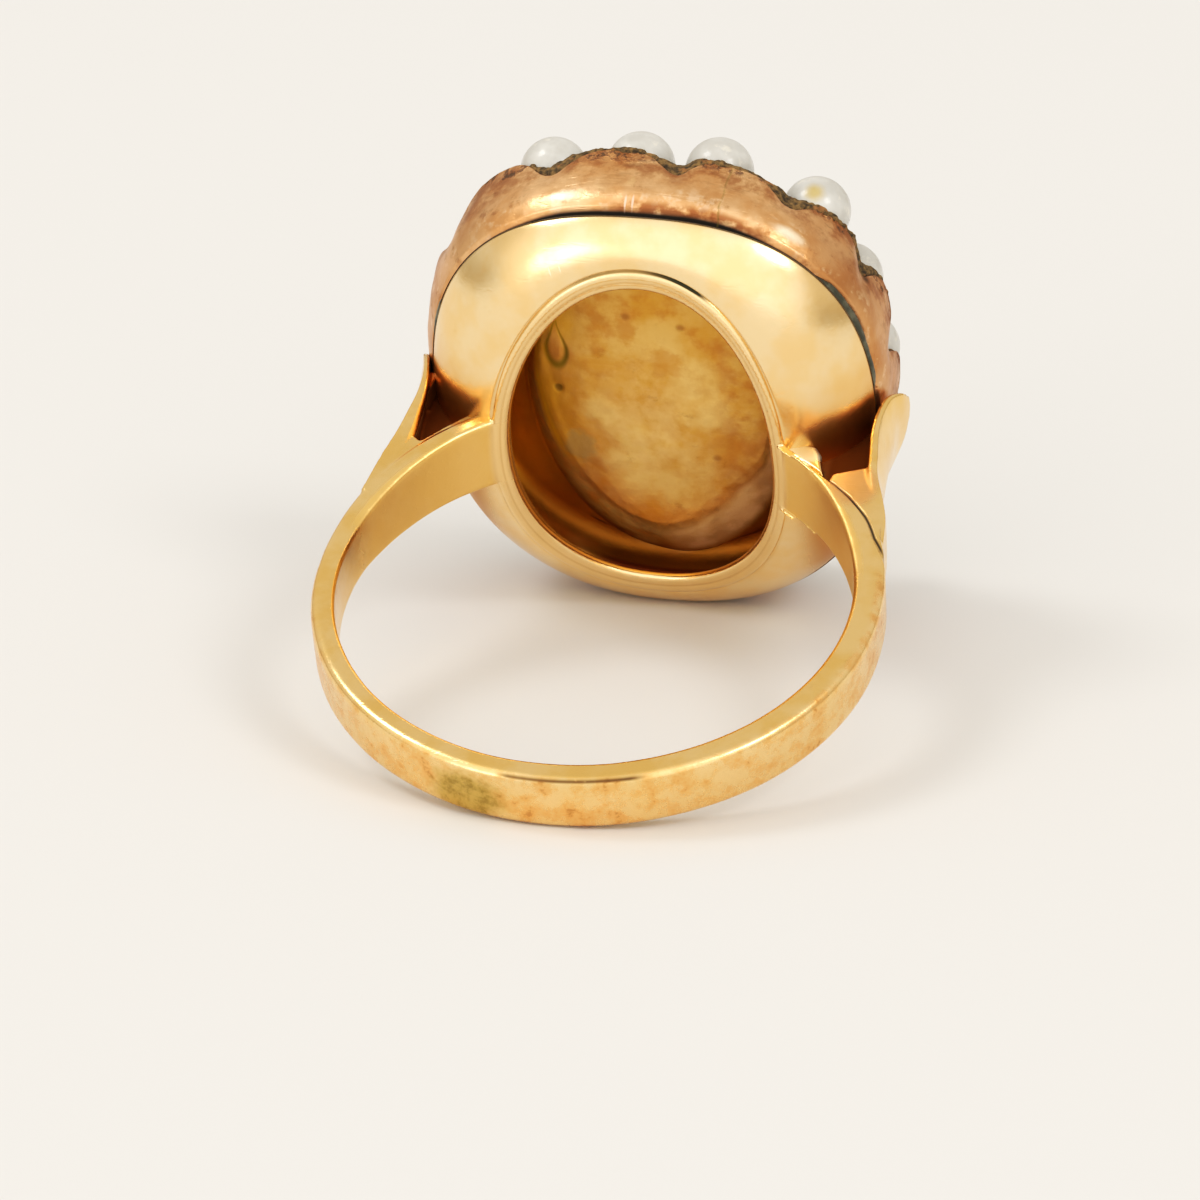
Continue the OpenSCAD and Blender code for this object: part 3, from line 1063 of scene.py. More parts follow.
    def add_slab(self, skin: Surface, plan: Sequence[Sequence[float]], *sizes: float) -> None:
        """Adds a flat slab with softened edges.

        Args:
            skin: What it is added to.
            plan: Corners of its outline, as x and y.
            sizes: Where it starts and ends along the finger, and how far its edges are softened.
        """
        low, high, soft = sizes
        corners = np.array(plan, float)
        middle = corners.mean(0)
        out = corners - middle
        out /= np.linalg.norm(out, axis=1)[:, None]
        rows = []
        for inward, z in ((soft, low), (0.0, low + soft), (0.0, high - soft), (soft, high)):
            flat = corners - out * inward
            rows.append(np.stack([flat[:, 0], flat[:, 1], np.full(len(corners), z)], -1))
        skin.loft(np.array(rows), caps=True)

    def add_lip(self, skin: Surface) -> None:
        """Adds the wire round the opening, which follows the finger's curve.

        Args:
            skin: What it is added to.
        """
        turn = turns(480)
        section = [(share, -rise) for share, rise in self.lip_profile]
        section += [(1.0, 0.1), (0.95, self.lip_bed), (0.05, self.lip_bed), (0.0, 0.1)]
        columns = []
        for share, deep in section:
            flat = HEAD.opening.toward(HEAD.wire, share).at(turn)
            columns.append(raised(flat, HEAD.saddle(flat[:, 0]) + deep))
        skin.loft(np.stack(columns, 1), wrap=True)

    def wear(self, mesh: bpy.types.Mesh) -> None:
        """Presses dents, the wire's groove and the split beside the right strap into the skin.

        Args:
            mesh: The melted skin in millimetres.
        """
        points, normals = read_points(mesh)
        x, y, z = points.T
        wire = HEAD.opening
        out = ((np.abs(x) / wire.half_x) ** wire.power + (np.abs(z) / wire.half_z) ** wire.power)
        out = out ** (1 / wire.power)
        near_lip = eased(0.45, 0.3, np.abs(y - HEAD.saddle(np.clip(x, -8.5, 8.5))))
        clear_of_strap = eased(1.2, 1.9, np.abs(z))
        groove = eased(0.012, 0.0, np.abs(out - 1.057)) * near_lip * clear_of_strap
        turn = np.degrees(np.arctan2(x, y))
        slim = np.array(self.right_strap).T
        away = np.abs(np.hypot(x, y) - through(slim[0], slim[1], turn))
        split = eased(0.1, 0.0, away) * eased(0.6, 0.9, z) * eased(46.0, 49.0, turn) * eased(77.0, 74.0, turn)
        dents = 0.009 * grain(points, 1.9, 8.1, 2)
        moved = points + normals * (dents - 0.012 * groove - 0.07 * split)[:, None]
        write_points(mesh, moved)

    def finish(self) -> bpy.types.Material:
        """Dresses the shank: orange wear outside, a solder patch, grey solder, and painted shade in its
        corners.

        Returns:
            The material.
        """
        coat = YELLOW_GOLD.coat(self.ring, "shank")
        g = coat.graph
        radius = g.finger_distance()
        outer_face = radius.between(9.2, 9.45) * g.y.between(3.0, 0.0)
        mottle = g.noise(0.8, 6.0, 0.7)
        coat.stain(outer_face * 0.6, tone(250, 214, 158), 0.3, 1.0)
        coat.stain(outer_face * mottle.between(0.4, 0.66) * 0.5, tone(236, 158, 74), 0.34, 1.0)
        coat.stain(outer_face * mottle.between(0.6, 0.68) * 0.45, tone(170, 104, 44), 0.45, 0.8)
        patch = g.ragged((-2.4, -9.2, -0.2), (1.5, 1.0, 1.0), (0.5, 3.0, 0.6))
        pits = g.cells(0.22).between(0.3, 0.1)
        coat.stain(patch.between(1.2, 0.5) * 0.75, tone(196, 162, 76), 0.5, 0.8)
        dull = patch.between(1.1, 0.6) * g.noise(0.4, 6.0, 0.7).between(0.4, 0.7)
        coat.stain(dull * 0.6, tone(128, 108, 40), 0.7, 0.4)
        coat.relief(patch.between(1.0, 0.8) * pits, -0.012)
        edge = g.z.band(0.98, 0.1) * outer_face * g.x.between(-1.4, -0.8) * g.x.between(3.8, 3.0)
        coat.stain(edge * g.noise(0.7, 3.0).between(0.3, 0.45), tone(92, 62, 12), 0.5, 0.5)
        inner_face = radius.between(9.0, 8.85) * g.y.between(0.5, 3.0) * abs(g.z).between(1.36, 1.28)
        coat.stain(inner_face * 0.8, tone(248, 204, 128), 0.4, 1.0)
        coat.mark(self.tan)
        # Dark brown in the crotches between strap, web and leaf: painted shade.
        pocket_shade = g.y.between(3.8, 5.4) * abs(g.x).between(6.45, 6.7) * g.z.between(1.12, 0.98)
        pocket_shade = pocket_shade * radius.between(9.02, 9.15)
        coat.stain(pocket_shade * abs(g.x).between(8.35, 8.15) * 0.9, tone(128, 70, 14), 0.6, 0.8)
        # Darker still deeper in the crotch: more painted shade.
        deep = g.z.between(0.5, 0.35) * radius.between(9.08, 9.2)
        deep = deep * g.y.between(5.4, 5.6) * abs(g.x).between(5.2, 5.4)
        coat.stain(deep * abs(g.x).between(8.35, 8.15) * 0.9, tone(118, 62, 12), 0.6, 0.8)
        lip = g.superellipse(HEAD.opening)
        near_lip = radius.between(9.4, 9.2) * g.y.between(6.6, 6.8)
        coat.stain(near_lip * lip.between(1.15, 1.1) * 0.6, tone(252, 220, 172), 0.24, 1.0)
        coat.stain(lip.band(1.057, 0.012) * near_lip * 0.25, tone(190, 130, 60), 0.4, 0.9)
        line = lip.band(1.122, 0.014) * near_lip * abs(g.z).between(1.7, 2.3)
        coat.stain(line * 0.25, tone(180, 126, 60), 0.4, 0.9)
        lay_gap(coat)
        split = self.split_line(g)
        coat.stain(split * g.z.between(0.5, 0.8), tone(44, 34, 12), 0.8, 0.2)
        grey = g.ragged((5.9, 7.6, 1.2), (0.75, 0.8, 0.4), (0.5, 2.0, 0.2))
        coat.stain(grey.between(1.15, 0.75) * radius.between(9.08, 9.16), tone(236, 228, 202), 0.36, 0.9)
        grey = g.ragged((-5.8, 7.8, 1.1), (0.55, 0.55, 0.4), (0.4, 3.0, 0.4))
        coat.stain(grey.between(1.1, 0.8) * 0.7, tone(176, 164, 110), 0.4, 0.8)
        return coat.done()

    def split_line(self, g: Graph) -> Field:
        """Finds the dark line between the right strap and its leaf.

        Args:
            g: The material.

        Returns:
            1 on the line and 0 away from it.
        """
        radius = g.finger_distance()
        turn = (g.x / g.y.most(0.5)).math("ARCTANGENT") * (180 / math.pi)
        base, span = 8.5, 1.3
        stops = [(place, ((rise - base) / span,) * 3) for place, rise in self.right_strap]
        low, high = stops[0][0], stops[-1][0]
        stops = [((place - low) / (high - low), colour) for place, colour in stops]
        ramp = g.node("ShaderNodeValToRGB", {"stops": stops}, {0: (turn - low) / (high - low)})
        line = radius - base - Field(g, ramp.outputs[0]) * span
        thin = line.band(0.02, 0.1) * turn.between(46.5, 49.0) * turn.between(76.0, 72.0)
        return thin * g.x.between(6.0, 6.4) * g.y.between(2.0, 2.4)

    def build(self) -> None:
        """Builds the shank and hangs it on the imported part."""
        skin = Surface()
        self.add_hoop(skin)
        for side in (-1, 1):
            self.add_leaf(skin, side)
        self.add_slab(skin, self.left_web, *self.web_sizes)
        self.add_slab(skin, self.right_web, *self.web_sizes)
        self.add_slab(skin, self.left_tip, *self.tip_sizes)
        self.add_slab(skin, self.solder, *self.solder_sizes)
        for side in (-1, 1):
            self.add_slab(skin, [(side * x, y) for x, y in self.backing], *self.backing_sizes)
        self.add_lip(skin)
        for x, y, z, radius in self.beads:
            skin.ball((x, y, z), radius)
        mesh = fused(skin.mesh("shank"), self.voxel, 9)
        self.wear(mesh)
        mesh = thinned(mesh, self.most_faces)
        self.put(mesh, "shank", self.finish(), YELLOW_GOLD.slot, "shank_with_cup")


@dataclass
class Cup(Part):
    """The open-backed cup, from the wire to the seam."""

    fullness: float = 0.6
    wall: float = 0.6
    edge_round: float = 0.1
    sides: int = 480
    scratches: Table = ((-3.0, 6.9, 0.24), (-2.65, 7.02, 0.18))
    marks: tuple[Mark, ...] = (
        Mark((2.95, 9.6, 8.66), (0.09, 1.2, 0.12), 0.4, 0.7, tone(120, 104, 60), 0.7, 0.3),
        Mark((1.06, 9.6, 8.86), (0.7, 1.2, 0.05), 0.3, 0.4, tone(170, 140, 84), 0.5, 0.8),
        Mark((-4.49, 9.6, 7.77), (0.3, 1.2, 0.12), 0.3, 0.45, tone(150, 136, 76), 0.6, 0.5),
    )

    def row(self, share: float, inward: float, forward: float) -> Array:
        """One row round the cup's wall.

        Args:
            share: 0 at the wire and 1 at the seam.
            inward: How far it is moved in.
            forward: How far it is moved towards the face.

        Returns:
            The row's points.
        """
        turn = turns(self.sides)
        out = share + (math.sin(math.pi / 2 * share) - share) * self.fullness
        up = share + (1 - math.cos(math.pi / 2 * share) - share) * self.fullness
        flat = HEAD.wire.toward(HEAD.seam, out).inset(inward).at(turn)
        back = HEAD.saddle(HEAD.wire.at(turn)[:, 0])
        return raised(flat, back + (HEAD.seam_y - back) * up + forward)

    def edge(self, inward: float, deep: float) -> Array:
        """One row near the wire or the opening, which follows the finger's curve."""
        flat = HEAD.wire.inset(inward).at(turns(self.sides))
        return raised(flat, HEAD.saddle(flat[:, 0]) + deep)

    def finish(self) -> bpy.types.Material:
        """Dresses the cup: short scratches, a dark dot, thin dirt beside the wire, painted shade beside the
        seam and under the leaves, and a painted warm reflection on its sides.

        Returns:
            The material.
        """
        coat = POLISHED_GOLD.coat(self.ring, "cup")
        g = coat.graph
        lay_gap(coat)
        # Dark brown low on the sides, where the leaves stand over the cup: painted shade and reflection of
        # the leaves.
        pocket_shade = (g.z + g.noise(0.7, 2.0) * 0.5).between(2.6, 1.4) * abs(g.x).between(5.2, 6.4)
        coat.stain(pocket_shade * 0.9, tone(150, 84, 14), 0.5, 0.9)
        # Warm orange higher up the sides: painted reflection.
        glow = (g.z + g.noise(1.2, 2.0)).between(4.6, 1.6) * abs(g.x).between(4.6, 6.6)
        coat.stain(glow * 0.65, tone(222, 154, 66), 0.3, 1.0)
        # Near-black band at the cup's edge by the seam: painted shade in the seam gap.
        coat.stain(g.y.between(10.12, 10.22), tone(40, 28, 12), 0.8, 0.2)
        for x, z, half in self.scratches:
            lean = abs(g.x - x + (g.z - z) * 0.45).between(0.045, 0.0)
            coat.stain(lean * g.z.band(z, half) * g.x.band(x, 0.3) * 0.55, tone(255, 240, 204), 0.45, 0.9)
        coat.mark(*self.marks)
        return coat.done()

    def build(self) -> None:
        """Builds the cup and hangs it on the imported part."""
        shares = eased(0, 1, np.linspace(0.1, 1.0, 60))
        rows = [self.edge(0.1, 0.3), self.edge(0.03, 0.02)]
        rows += [self.row(f, 0, 0) for f in shares * 0.985 + 0.005]
        soft = self.edge_round
        for angle in np.linspace(0, math.pi / 2, 6):
            rows.append(self.row(1.0, soft * (1 - math.cos(angle)), soft * (math.sin(angle) - 1)))
        rows += [self.row(1.0, self.wall - 0.1, 0), self.row(1.0, self.wall, -0.08)]
        rows += [self.row(f, self.wall, self.wall * (1 - f)) for f in (0.8, 0.6, 0.4, 0.2)]
        rows += [self.edge(0.25, 0.62), self.edge(0.5, 0.4)]
        mesh = lofted("cup", rows)
        points, normals = read_points(mesh)
        write_points(mesh, points + normals * (0.012 * grain(points, 3.6, 5.3, 1))[:, None])
        self.put(mesh, "cup", self.finish(), YELLOW_GOLD.slot, "shank_with_cup")


@dataclass
class Pearls(Part):
    """Sixteen half-set pearls, each a little uneven."""

    sides: int = 64
    count: int = 16
    stained: Triple = (5.28, 13.5, 7.59)
    stain_r: float = 0.42

    def finish(self) -> bpy.types.Material:
        """Dresses the pearls: grey-white nacre with faint bands, and an old yellow stain.

        Returns:
            The material.
        """
        g = Graph("nacre", self.ring)
        clouds = g.noise(1.3, 3.0)
        base = g.blend(clouds.between(0.35, 0.65), tone(208, 206, 199), tone(190, 187, 179))
        coat = Coat(g, base, 0.3, 0.0)
        coat.stain(g.noise(0.5, 4.0).between(0.58, 0.72) * 0.4, tone(240, 232, 214), 0.3, 0.0)
        stain = g.ragged(self.stained, (self.stain_r,) * 3, (0.3, 3.0, 0.4))
        coat.stain(stain.between(1.25, 0.2) * 0.75, tone(190, 160, 66), 0.35, 0.0)
        coat.relief(g.noise(0.6, 2.0), 0.006)
        return coat.done({
            "Subsurface Weight": 0.25,
            "Subsurface Radius": (1.0, 0.9, 0.8),
            "Subsurface Scale": 0.0002,
            "Coat Weight": 0.4,
            "Coat Roughness": 0.1,
            "IOR": 1.5,
        })

    def build(self) -> list[Array]:
        """Builds the pearls.

        Returns:
            Each pearl's middle in ring millimetres.
        """
        material = self.finish()
        middles = []
        for number in range(1, self.count + 1):
            node = f"pearl_{number:02d}"
            low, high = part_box(node)
            middle = self.ring.local((low + high) / 2)
            middles.append(middle)
            skin = Surface()
            skin.ball(middle, HEAD.pearl_r, self.sides)
            mesh = skin.mesh(node)
            points, normals = read_points(mesh)
            uneven = 0.016 * grain(points, 2.0, number * 3.1, 1) - 0.01
            write_points(mesh, points + normals * np.clip(uneven, -0.05, 0.0)[:, None])
            self.put(mesh, f"nacre_{node}", material, "pearl", node)
        return middles


@dataclass
class Border(Part):
    """The scalloped rose-gold border, with the old cement on its rim and the solder in its seam."""

    middles: list[Array]
    bulge: float = 0.46
    low: float = 1.9
    peak: float = 1.12
    room: float = 0.03
    rim: float = 0.1
    bank: float = 2.3
    wall_rows: int = 40
    rim_rows: int = 7
    lobe: Table = (
        (0.0, 0.0), (0.06, 0.05), (0.16, 0.4), (0.27, 0.8), (0.4, 0.96), (0.52, 1.0), (0.66, 0.95),
        (0.78, 0.76), (0.88, 0.4), (0.95, 0.1), (1.0, 0.0),
    )
    stray: Table = (
        (0.0, 0.1), (34.0, 0.2), (61.0, 0.18), (85.0, 0.12), (110.0, -0.2), (139.0, -0.45), (200.0, -0.3),
        (270.0, 0.0), (360.0, 0.1),
    )
    lobe_heights: Table = (
        (0.0, 1.0), (28.0, 0.95), (48.0, 0.76), (62.0, 0.75), (73.0, 0.72), (85.0, 0.82), (98.0, 0.94),
        (111.0, 1.0), (120.0, 1.1), (140.0, 1.1), (150.0, 1.0), (360.0, 1.0),
    )
    # Spots on the foot painted pale and hardly metallic as highlights: x, y, z and half size.
    painted_highlight: Table = ((4.93, 11.0, 7.78, 0.75), (-2.87, 11.05, 8.75, 0.6))
    ticks: tuple[Mark, ...] = tuple(
        Mark((x, y, 8.7), (0.055, 0.3, 0.9), 0.4, 0.7, tone(246, 214, 190), 0.4, 0.9)
        for x, y in ((-0.67, 10.8), (-0.42, 10.82))
    )
    crack_x: float = 2.52
    crack_y: float = 11.3
    sides: int = 1080

    @property
    def places(self) -> Array:
        """x and z of each pearl."""
        return np.array(self.middles)[:, ::2]

    def nearness(self, flat: Array) -> tuple[Array, Array]:
        """Finds how far each point lies along its lobe's rise, and which pearl is the nearest.

        Args:
            flat: x and z of each point.

        Returns:
            1 at the top of a lobe and 0 in a dip, and the number of the nearest pearl.
        """
        places = self.places
        turn = np.degrees(np.arctan2(flat[:, 1], flat[:, 0])) % 360
        pearl = np.sort(np.degrees(np.arctan2(places[:, 1], places[:, 0])) % 360)
        wide = np.concatenate([pearl - 360, pearl, pearl + 360])
        stray = np.array(self.stray).T
        station = np.interp(turn, wide, np.arange(len(wide))) + np.interp(turn, *stray) - 0.5
        lobe = np.array(self.lobe).T
        share = np.clip(through(lobe[0], lobe[1], station % 1.0), 0, 1)
        away = np.linalg.norm(flat[:, None] - places[None], axis=2)
        return share, away.argmin(1)

    def cleared(self, flat: Array, depth: Array, room: float) -> Array:
        """Moves points out of the nearest pearl.

        Args:
            flat: x and z of each point.
            depth: Its distance from the finger axis.
            room: Space to leave round the pearl.

        Returns:
            The moved x and z.
        """
        centre = self.places[self.nearness(flat)[1]]
        reach = np.sqrt(np.clip((HEAD.pearl_r + room) ** 2 - (HEAD.pearl_y - depth) ** 2, 0, None))
        gap = flat - centre
        away = np.maximum(np.linalg.norm(gap, axis=1), 1e-6)
        factor = np.maximum(reach / away, 1.0)
        return centre + gap * factor[:, None]

    def seam_gap(self, flat: Array) -> Array:
        """Measures how far the border stands off the cup, which varies along the seam.

        Args:
            flat: x and z of each point.

        Returns:
            The gap at each point, in millimetres.
        """
        x, z = flat.T
        upper = eased(3.0, 6.0, z)
        open_top = 0.2 * eased(-6.0, -2.0, x) * eased(5.0, 2.0, x) * upper
        filled = 0.38 * eased(3.0, 0.0, np.hypot(x - 7.2, (z - 4.3) * 0.9)) * eased(0.5, 2.4, z)
        return 0.02 + open_top + filled

    def rows(self) -> Array:
        """Works out all rows round the border: outer wall, rim, inner wall, floor and skirt.

        Returns:
            The rows' points, shaped (rows, sides, 3).
        """
        turn = turns(self.sides)
        line = HEAD.pearl_line.at(turn)
        near = self.nearness(line)[0]
        uneven = flat_grain(line, 1.3, 6.6, 2)
        rough = flat_grain(line, 0.45, 1.9, 2)
        angle = np.degrees(turn)
        shy = eased(134.0, 152.0, angle) * eased(215.0, 180.0, angle)
        calm = (1 - 0.6 * shy) * np.interp(angle, *np.array(self.lobe_heights).T)
        top = self.low + self.peak * calm * near - 0.2 * shy + 0.03 * uneven + 0.03 * rough
        swell = 0.12 * near - 0.06
        gap = self.seam_gap(HEAD.seam.at(turn))
        made = []
        for f in np.linspace(0, 1, self.wall_rows):
            bulge = self.bulge * math.sin(min(1, 1.2 * f) * math.pi / 2) - 0.04 * f
            outline = Outline(
                HEAD.seam.half_x + bulge,
                HEAD.seam.half_z + bulge,
                HEAD.seam.power + (2.45 - HEAD.seam.power) * f,
                -0.16 * f,
                HEAD.seam.rounder,
            )
            flat = outline.at(turn)
            away = outward(flat)
            stretch = eased(0.25, 1.0, f)
            depth = HEAD.border_y + f * self.low + stretch * (top - self.low)
            foot = 0.16 * math.cos(min(1, f * 11) * math.pi / 2)
            depth = depth + gap * max(0.0, 1 - f * 2.5)
            flat = flat + away * (f * f * swell - foot)[:, None]
            made.append(raised(self.cleared(flat, depth, self.room), depth))
        outer_edge = made[-1]
        inner_flat = self.cleared(HEAD.pearl_line.inset(-0.55).at(turn), HEAD.border_y + top, 0.03)
        inward = inner_flat - outer_edge[:, ::2]
        reach = np.linalg.norm(inward, axis=1)
        inward = inward / reach[:, None]
        width = np.minimum(reach, self.rim + 0.1 * (1 - near))
        for angle in np.linspace(0.15, 1.0, self.rim_rows) * math.pi:
            flat = outer_edge[:, ::2] + inward * (width * (1 - math.cos(angle)) / 2)[:, None]
            made.append(raised(flat, outer_edge[:, 1] + 0.5 * self.rim * math.sin(angle)))
        start = made[-1]
        end = HEAD.pearl_line.inset(-0.35).at(turn)
        bank = HEAD.border_y + self.bank + 0.22 * uneven + 0.16 * rough
        for f in np.linspace(0.08, 1, 14):
            depth = start[:, 1] + (bank - start[:, 1]) * eased(0, 0.35, f)
            depth = depth + (HEAD.floor_y - bank) * eased(0.4, 1, f)
            flat = start[:, ::2] + (end - start[:, ::2]) * (f ** 1.4)
            made.append(raised(self.cleared(flat, depth, 0.03), depth))
        for inset in np.linspace(0, 1.55, 20)[1:]:
            made.append(raised(HEAD.pearl_line.inset(inset - 0.35).at(turn), HEAD.floor_y))
        collar = HEAD.window.inset(-0.5)
        skirt = HEAD.seam.inset(0.6)
        made += [raised(collar.at(turn), y) for y in (HEAD.floor_y, HEAD.shelf_y)]
        made += [raised(skirt.at(turn), y) for y in (HEAD.shelf_y, HEAD.border_y)]
        return np.array(made)

    def finish(self) -> bpy.types.Material:
        """Dresses the border: dull rose gold, dark grains along its rim, a fine crack, light marks, painted
        highlights on its foot and painted shade along the seam.

        Returns:
            The material.
        """
        coat = ROSE_GOLD.coat(self.ring, "border")
        g = coat.graph
        browned = g.noise(0.9, 5.0, 0.65)
        upper = g.y.between(11.2, 12.4)
        coat.stain(upper * browned.between(0.38, 0.58) * 0.7, tone(158, 100, 54), 0.42, 0.9)
        ends = abs(g.x + 0.6).between(4.6, 7.6)
        coat.stain(ends * 0.4, tone(164, 100, 52), 0.4, 0.95)
        pale = g.noise(0.7, 5.0, 0.62).between(0.54, 0.66) * g.y.between(11.8, 11.2)
        coat.stain(pale * 0.5, tone(250, 216, 178), 0.4, 0.95)
        streaks = g.noise(0.3, 3.0, 0.6, g.stretched((0.0, 0.2, 0.5), (0.3, 1.0, 0.5)))
        coat.stain(upper * streaks.between(0.55, 0.72) * 0.4, tone(120, 84, 44), 0.5, 0.7)
        grains = g.noise(0.2, 5.0, 0.7)
        behind = g.superellipse(HEAD.pearl_line.inset(-0.92)).between(1.01, 0.96) * g.y.between(12.0, 12.4)
        behind = behind * (g.superellipse(HEAD.pearl_line).between(0.88, 1.04) * 0.8 + 0.2)
        lumps = g.noise(0.8, 3.0).between(0.46, 0.56)
        rim = g.y.between(12.5, 12.9) * lumps
        dirt = (behind * grains.between(0.25, 0.5)).most(rim * grains.between(0.4, 0.6) * 0.85)
        coat.stain(dirt, tone(74, 58, 40), 0.9, 0.0)
        coat.relief(dirt * grains, 0.07)
        foot = g.y.between(10.62, 10.36) * g.noise(0.7, 5.0, 0.6).between(0.42, 0.62)
        coat.stain(foot * 0.4, tone(168, 104, 58), 0.5, 0.8)
        edge = g.y - g.z.between(3.0, 6.0) * g.x.between(-6.0, -2.0) * g.x.between(5.0, 2.0) * 0.2
        brown = g.z.between(5.5, 6.5) * g.x.between(-1.8, -0.4) * g.x.between(4.6, 3.4)
        brown = brown * edge.between(10.8, 10.5)
        coat.stain(brown * g.noise(0.5, 4.0).between(0.3, 0.55) * 0.85, tone(150, 88, 44), 0.55, 0.7)
        # Near-black band on the foot along the seam: painted shade in the seam gap.
        coat.stain(edge.between(10.44, 10.36), tone(34, 24, 12), 0.8, 0.2)
        # Painted highlights: pale, hardly metallic patches on the foot.
        for x, y, z, half in self.painted_highlight:
            painted_highlight = g.ragged((x, y, z), (half, 0.26, half), (0.5, 3.0, 0.6))
            coat.stain(painted_highlight.between(1.25, 0.1) * 0.9, tone(255, 240, 208), 0.34, 0.3)
        wander = (g.noise(0.8, 1.0) - 0.5) * 0.2
        crack = (g.x - self.crack_x - wander - (g.y - self.crack_y) * 0.05).band(0.0, 0.07)
        crack = crack * g.z.between(4.0, 6.0) * g.noise(0.5, 2.0).between(0.3, 0.5)
        coat.stain(crack * 0.5, tone(120, 104, 44), 0.6, 0.5)
        coat.relief(crack, -0.012)
        coat.mark(*self.ticks)
        dull = g.ragged((-1.2, 11.7, 8.9), (0.75, 0.42, 1.2), (0.6, 4.0, 1.2))
        halo = dull.band(0.95, 0.3) * g.noise(0.9, 2.0).between(0.4, 0.6)
        coat.stain(halo * 0.35, tone(246, 206, 150), 0.45, 0.9)
        coat.stain(dull.between(0.8, 0.4) * 0.35, tone(168, 120, 72), 0.5, 0.8)
        coat.stain(g.spot((7.5, 12.3, 5.1), (0.6, 0.4, 0.34)).between(1.0, 0.5), tone(60, 42, 22), 0.8, 0.1)
        return coat.done()

    def build(self) -> None:
        """Builds the border, the seam's solder and the old cement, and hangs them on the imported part."""
        rows = self.rows()
        mesh = lofted("border", rows)
        points, normals = read_points(mesh)
        wall = eased(10.35, 10.7, points[:, 1])
        dents = wall * (0.03 * grain(points, 1.8, 2.2, 2) + 0.006 * grain(points, 0.5, 7.7, 2))
        write_points(mesh, points + normals * (dents - 0.01)[:, None])
        self.put(mesh, "border", self.finish(), ROSE_GOLD.slot, "pearl_setting")
        self.fill_seam()
        self.fill_rim(rows[self.wall_rows + self.rim_rows - 1])

    def fill_rim(self, edge: Array) -> None:
        """Lays the crumbly old cement that has crept up between the rim and the pearls.

        Args:
            edge: Points along the rim's inner edge.
        """
        flat = edge[:, ::2]
        away = outward(flat)
        turn = np.degrees(np.arctan2(flat[:, 1], flat[:, 0]))
        crept = eased(10.0, 34.0, turn) * eased(125.0, 112.0, turn)
        lumps = grain(raised(flat, 0.0), 0.7, 4.2, 3)
        dip = 1 - self.nearness(flat)[0]
        wide = 0.15 + 0.06 * lumps
        tall = 0.13 + 0.32 * dip * crept + 0.1 * lumps
        middle = edge[:, 1] - 0.06 + crept * (0.12 + 0.42 * dip)
        columns = []
        for angle in turns(12):
            out = flat + away * (wide * math.cos(angle) - 0.14 + 0.1 * crept)[:, None]
            columns.append(raised(out, middle + tall * math.sin(angle)))
        mesh = lofted("old_cement", np.stack(columns, 1))
        points, normals = read_points(mesh)
        rough = 0.06 * grain(points, 0.3, 9.3, 2) + 0.03 * grain(points, 0.12, 2.3, 1)
        write_points(mesh, points + normals * rough[:, None])
        g = Graph("old_cement", self.ring)
        grains = g.noise(0.22, 5.0, 0.7)
        coat = Coat(g, g.blend(grains.between(0.35, 0.65), tone(58, 46, 30), tone(134, 108, 66)), 0.9, 0.0)
        coat.stain(g.noise(0.6, 3.0).between(0.55, 0.66) * 0.6, tone(168, 116, 66), 0.8, 0.2)
        coat.relief(grains, 0.05)
        self.put(mesh, "old_cement", coat.done(), ROSE_GOLD.slot)

    def fill_seam(self) -> None:
        """Lays the solder bead that fills the seam on both sides and lies deep at the top."""
        turn = turns(720)
        seam = HEAD.seam.at(turn)
        x, z = seam.T
        lumps = flat_grain(seam, 0.7, 3.3, 3)
        right = eased(2.9, 1.6, np.hypot(x - 7.2, (z - 4.2) * 0.85))
        left = eased(1.6, 0.8, np.hypot(x + 7.5, z - 3.2))
        full = np.clip(right + left, 0, 1)
        half = 0.07 + full * (0.16 + 0.05 * lumps)
        proud = -0.2 + full * (0.24 + 0.03 * lumps)
        rise = HEAD.border_y + 0.5 * self.seam_gap(seam)
        columns = []
        for angle in np.linspace(-0.5, 0.5, 11) * math.pi:
            flat = seam + outward(seam) * (proud + half * (math.cos(angle) - 1))[:, None]
            columns.append(raised(flat, rise + half * math.sin(angle)))
        back = HEAD.seam.inset(0.5).at(turn)
        columns += [raised(back, rise + 0.05), raised(back, rise - 0.05)]
        mesh = lofted("seam_solder", np.stack(columns, 1))
        g = Graph("seam_solder", self.ring)
        grey = g.blend(g.noise(0.5, 4.0).between(0.4, 0.6), tone(112, 110, 92), tone(78, 78, 64))
        coat = Coat(g, grey, 0.42, 0.5)
        # Near-black where the bead lies deep in the open seam: painted shade. The grey at the sides is the
        # solder's own colour.
        coat.stain(abs(g.x).between(6.2, 5.4).most(g.z.between(1.6, 0.6)), tone(20, 14, 6), 0.8, 0.2)
        coat.relief(g.noise(0.3, 3.0), 0.02)
        self.put(mesh, "seam_solder", coat.done(), YELLOW_GOLD.slot)


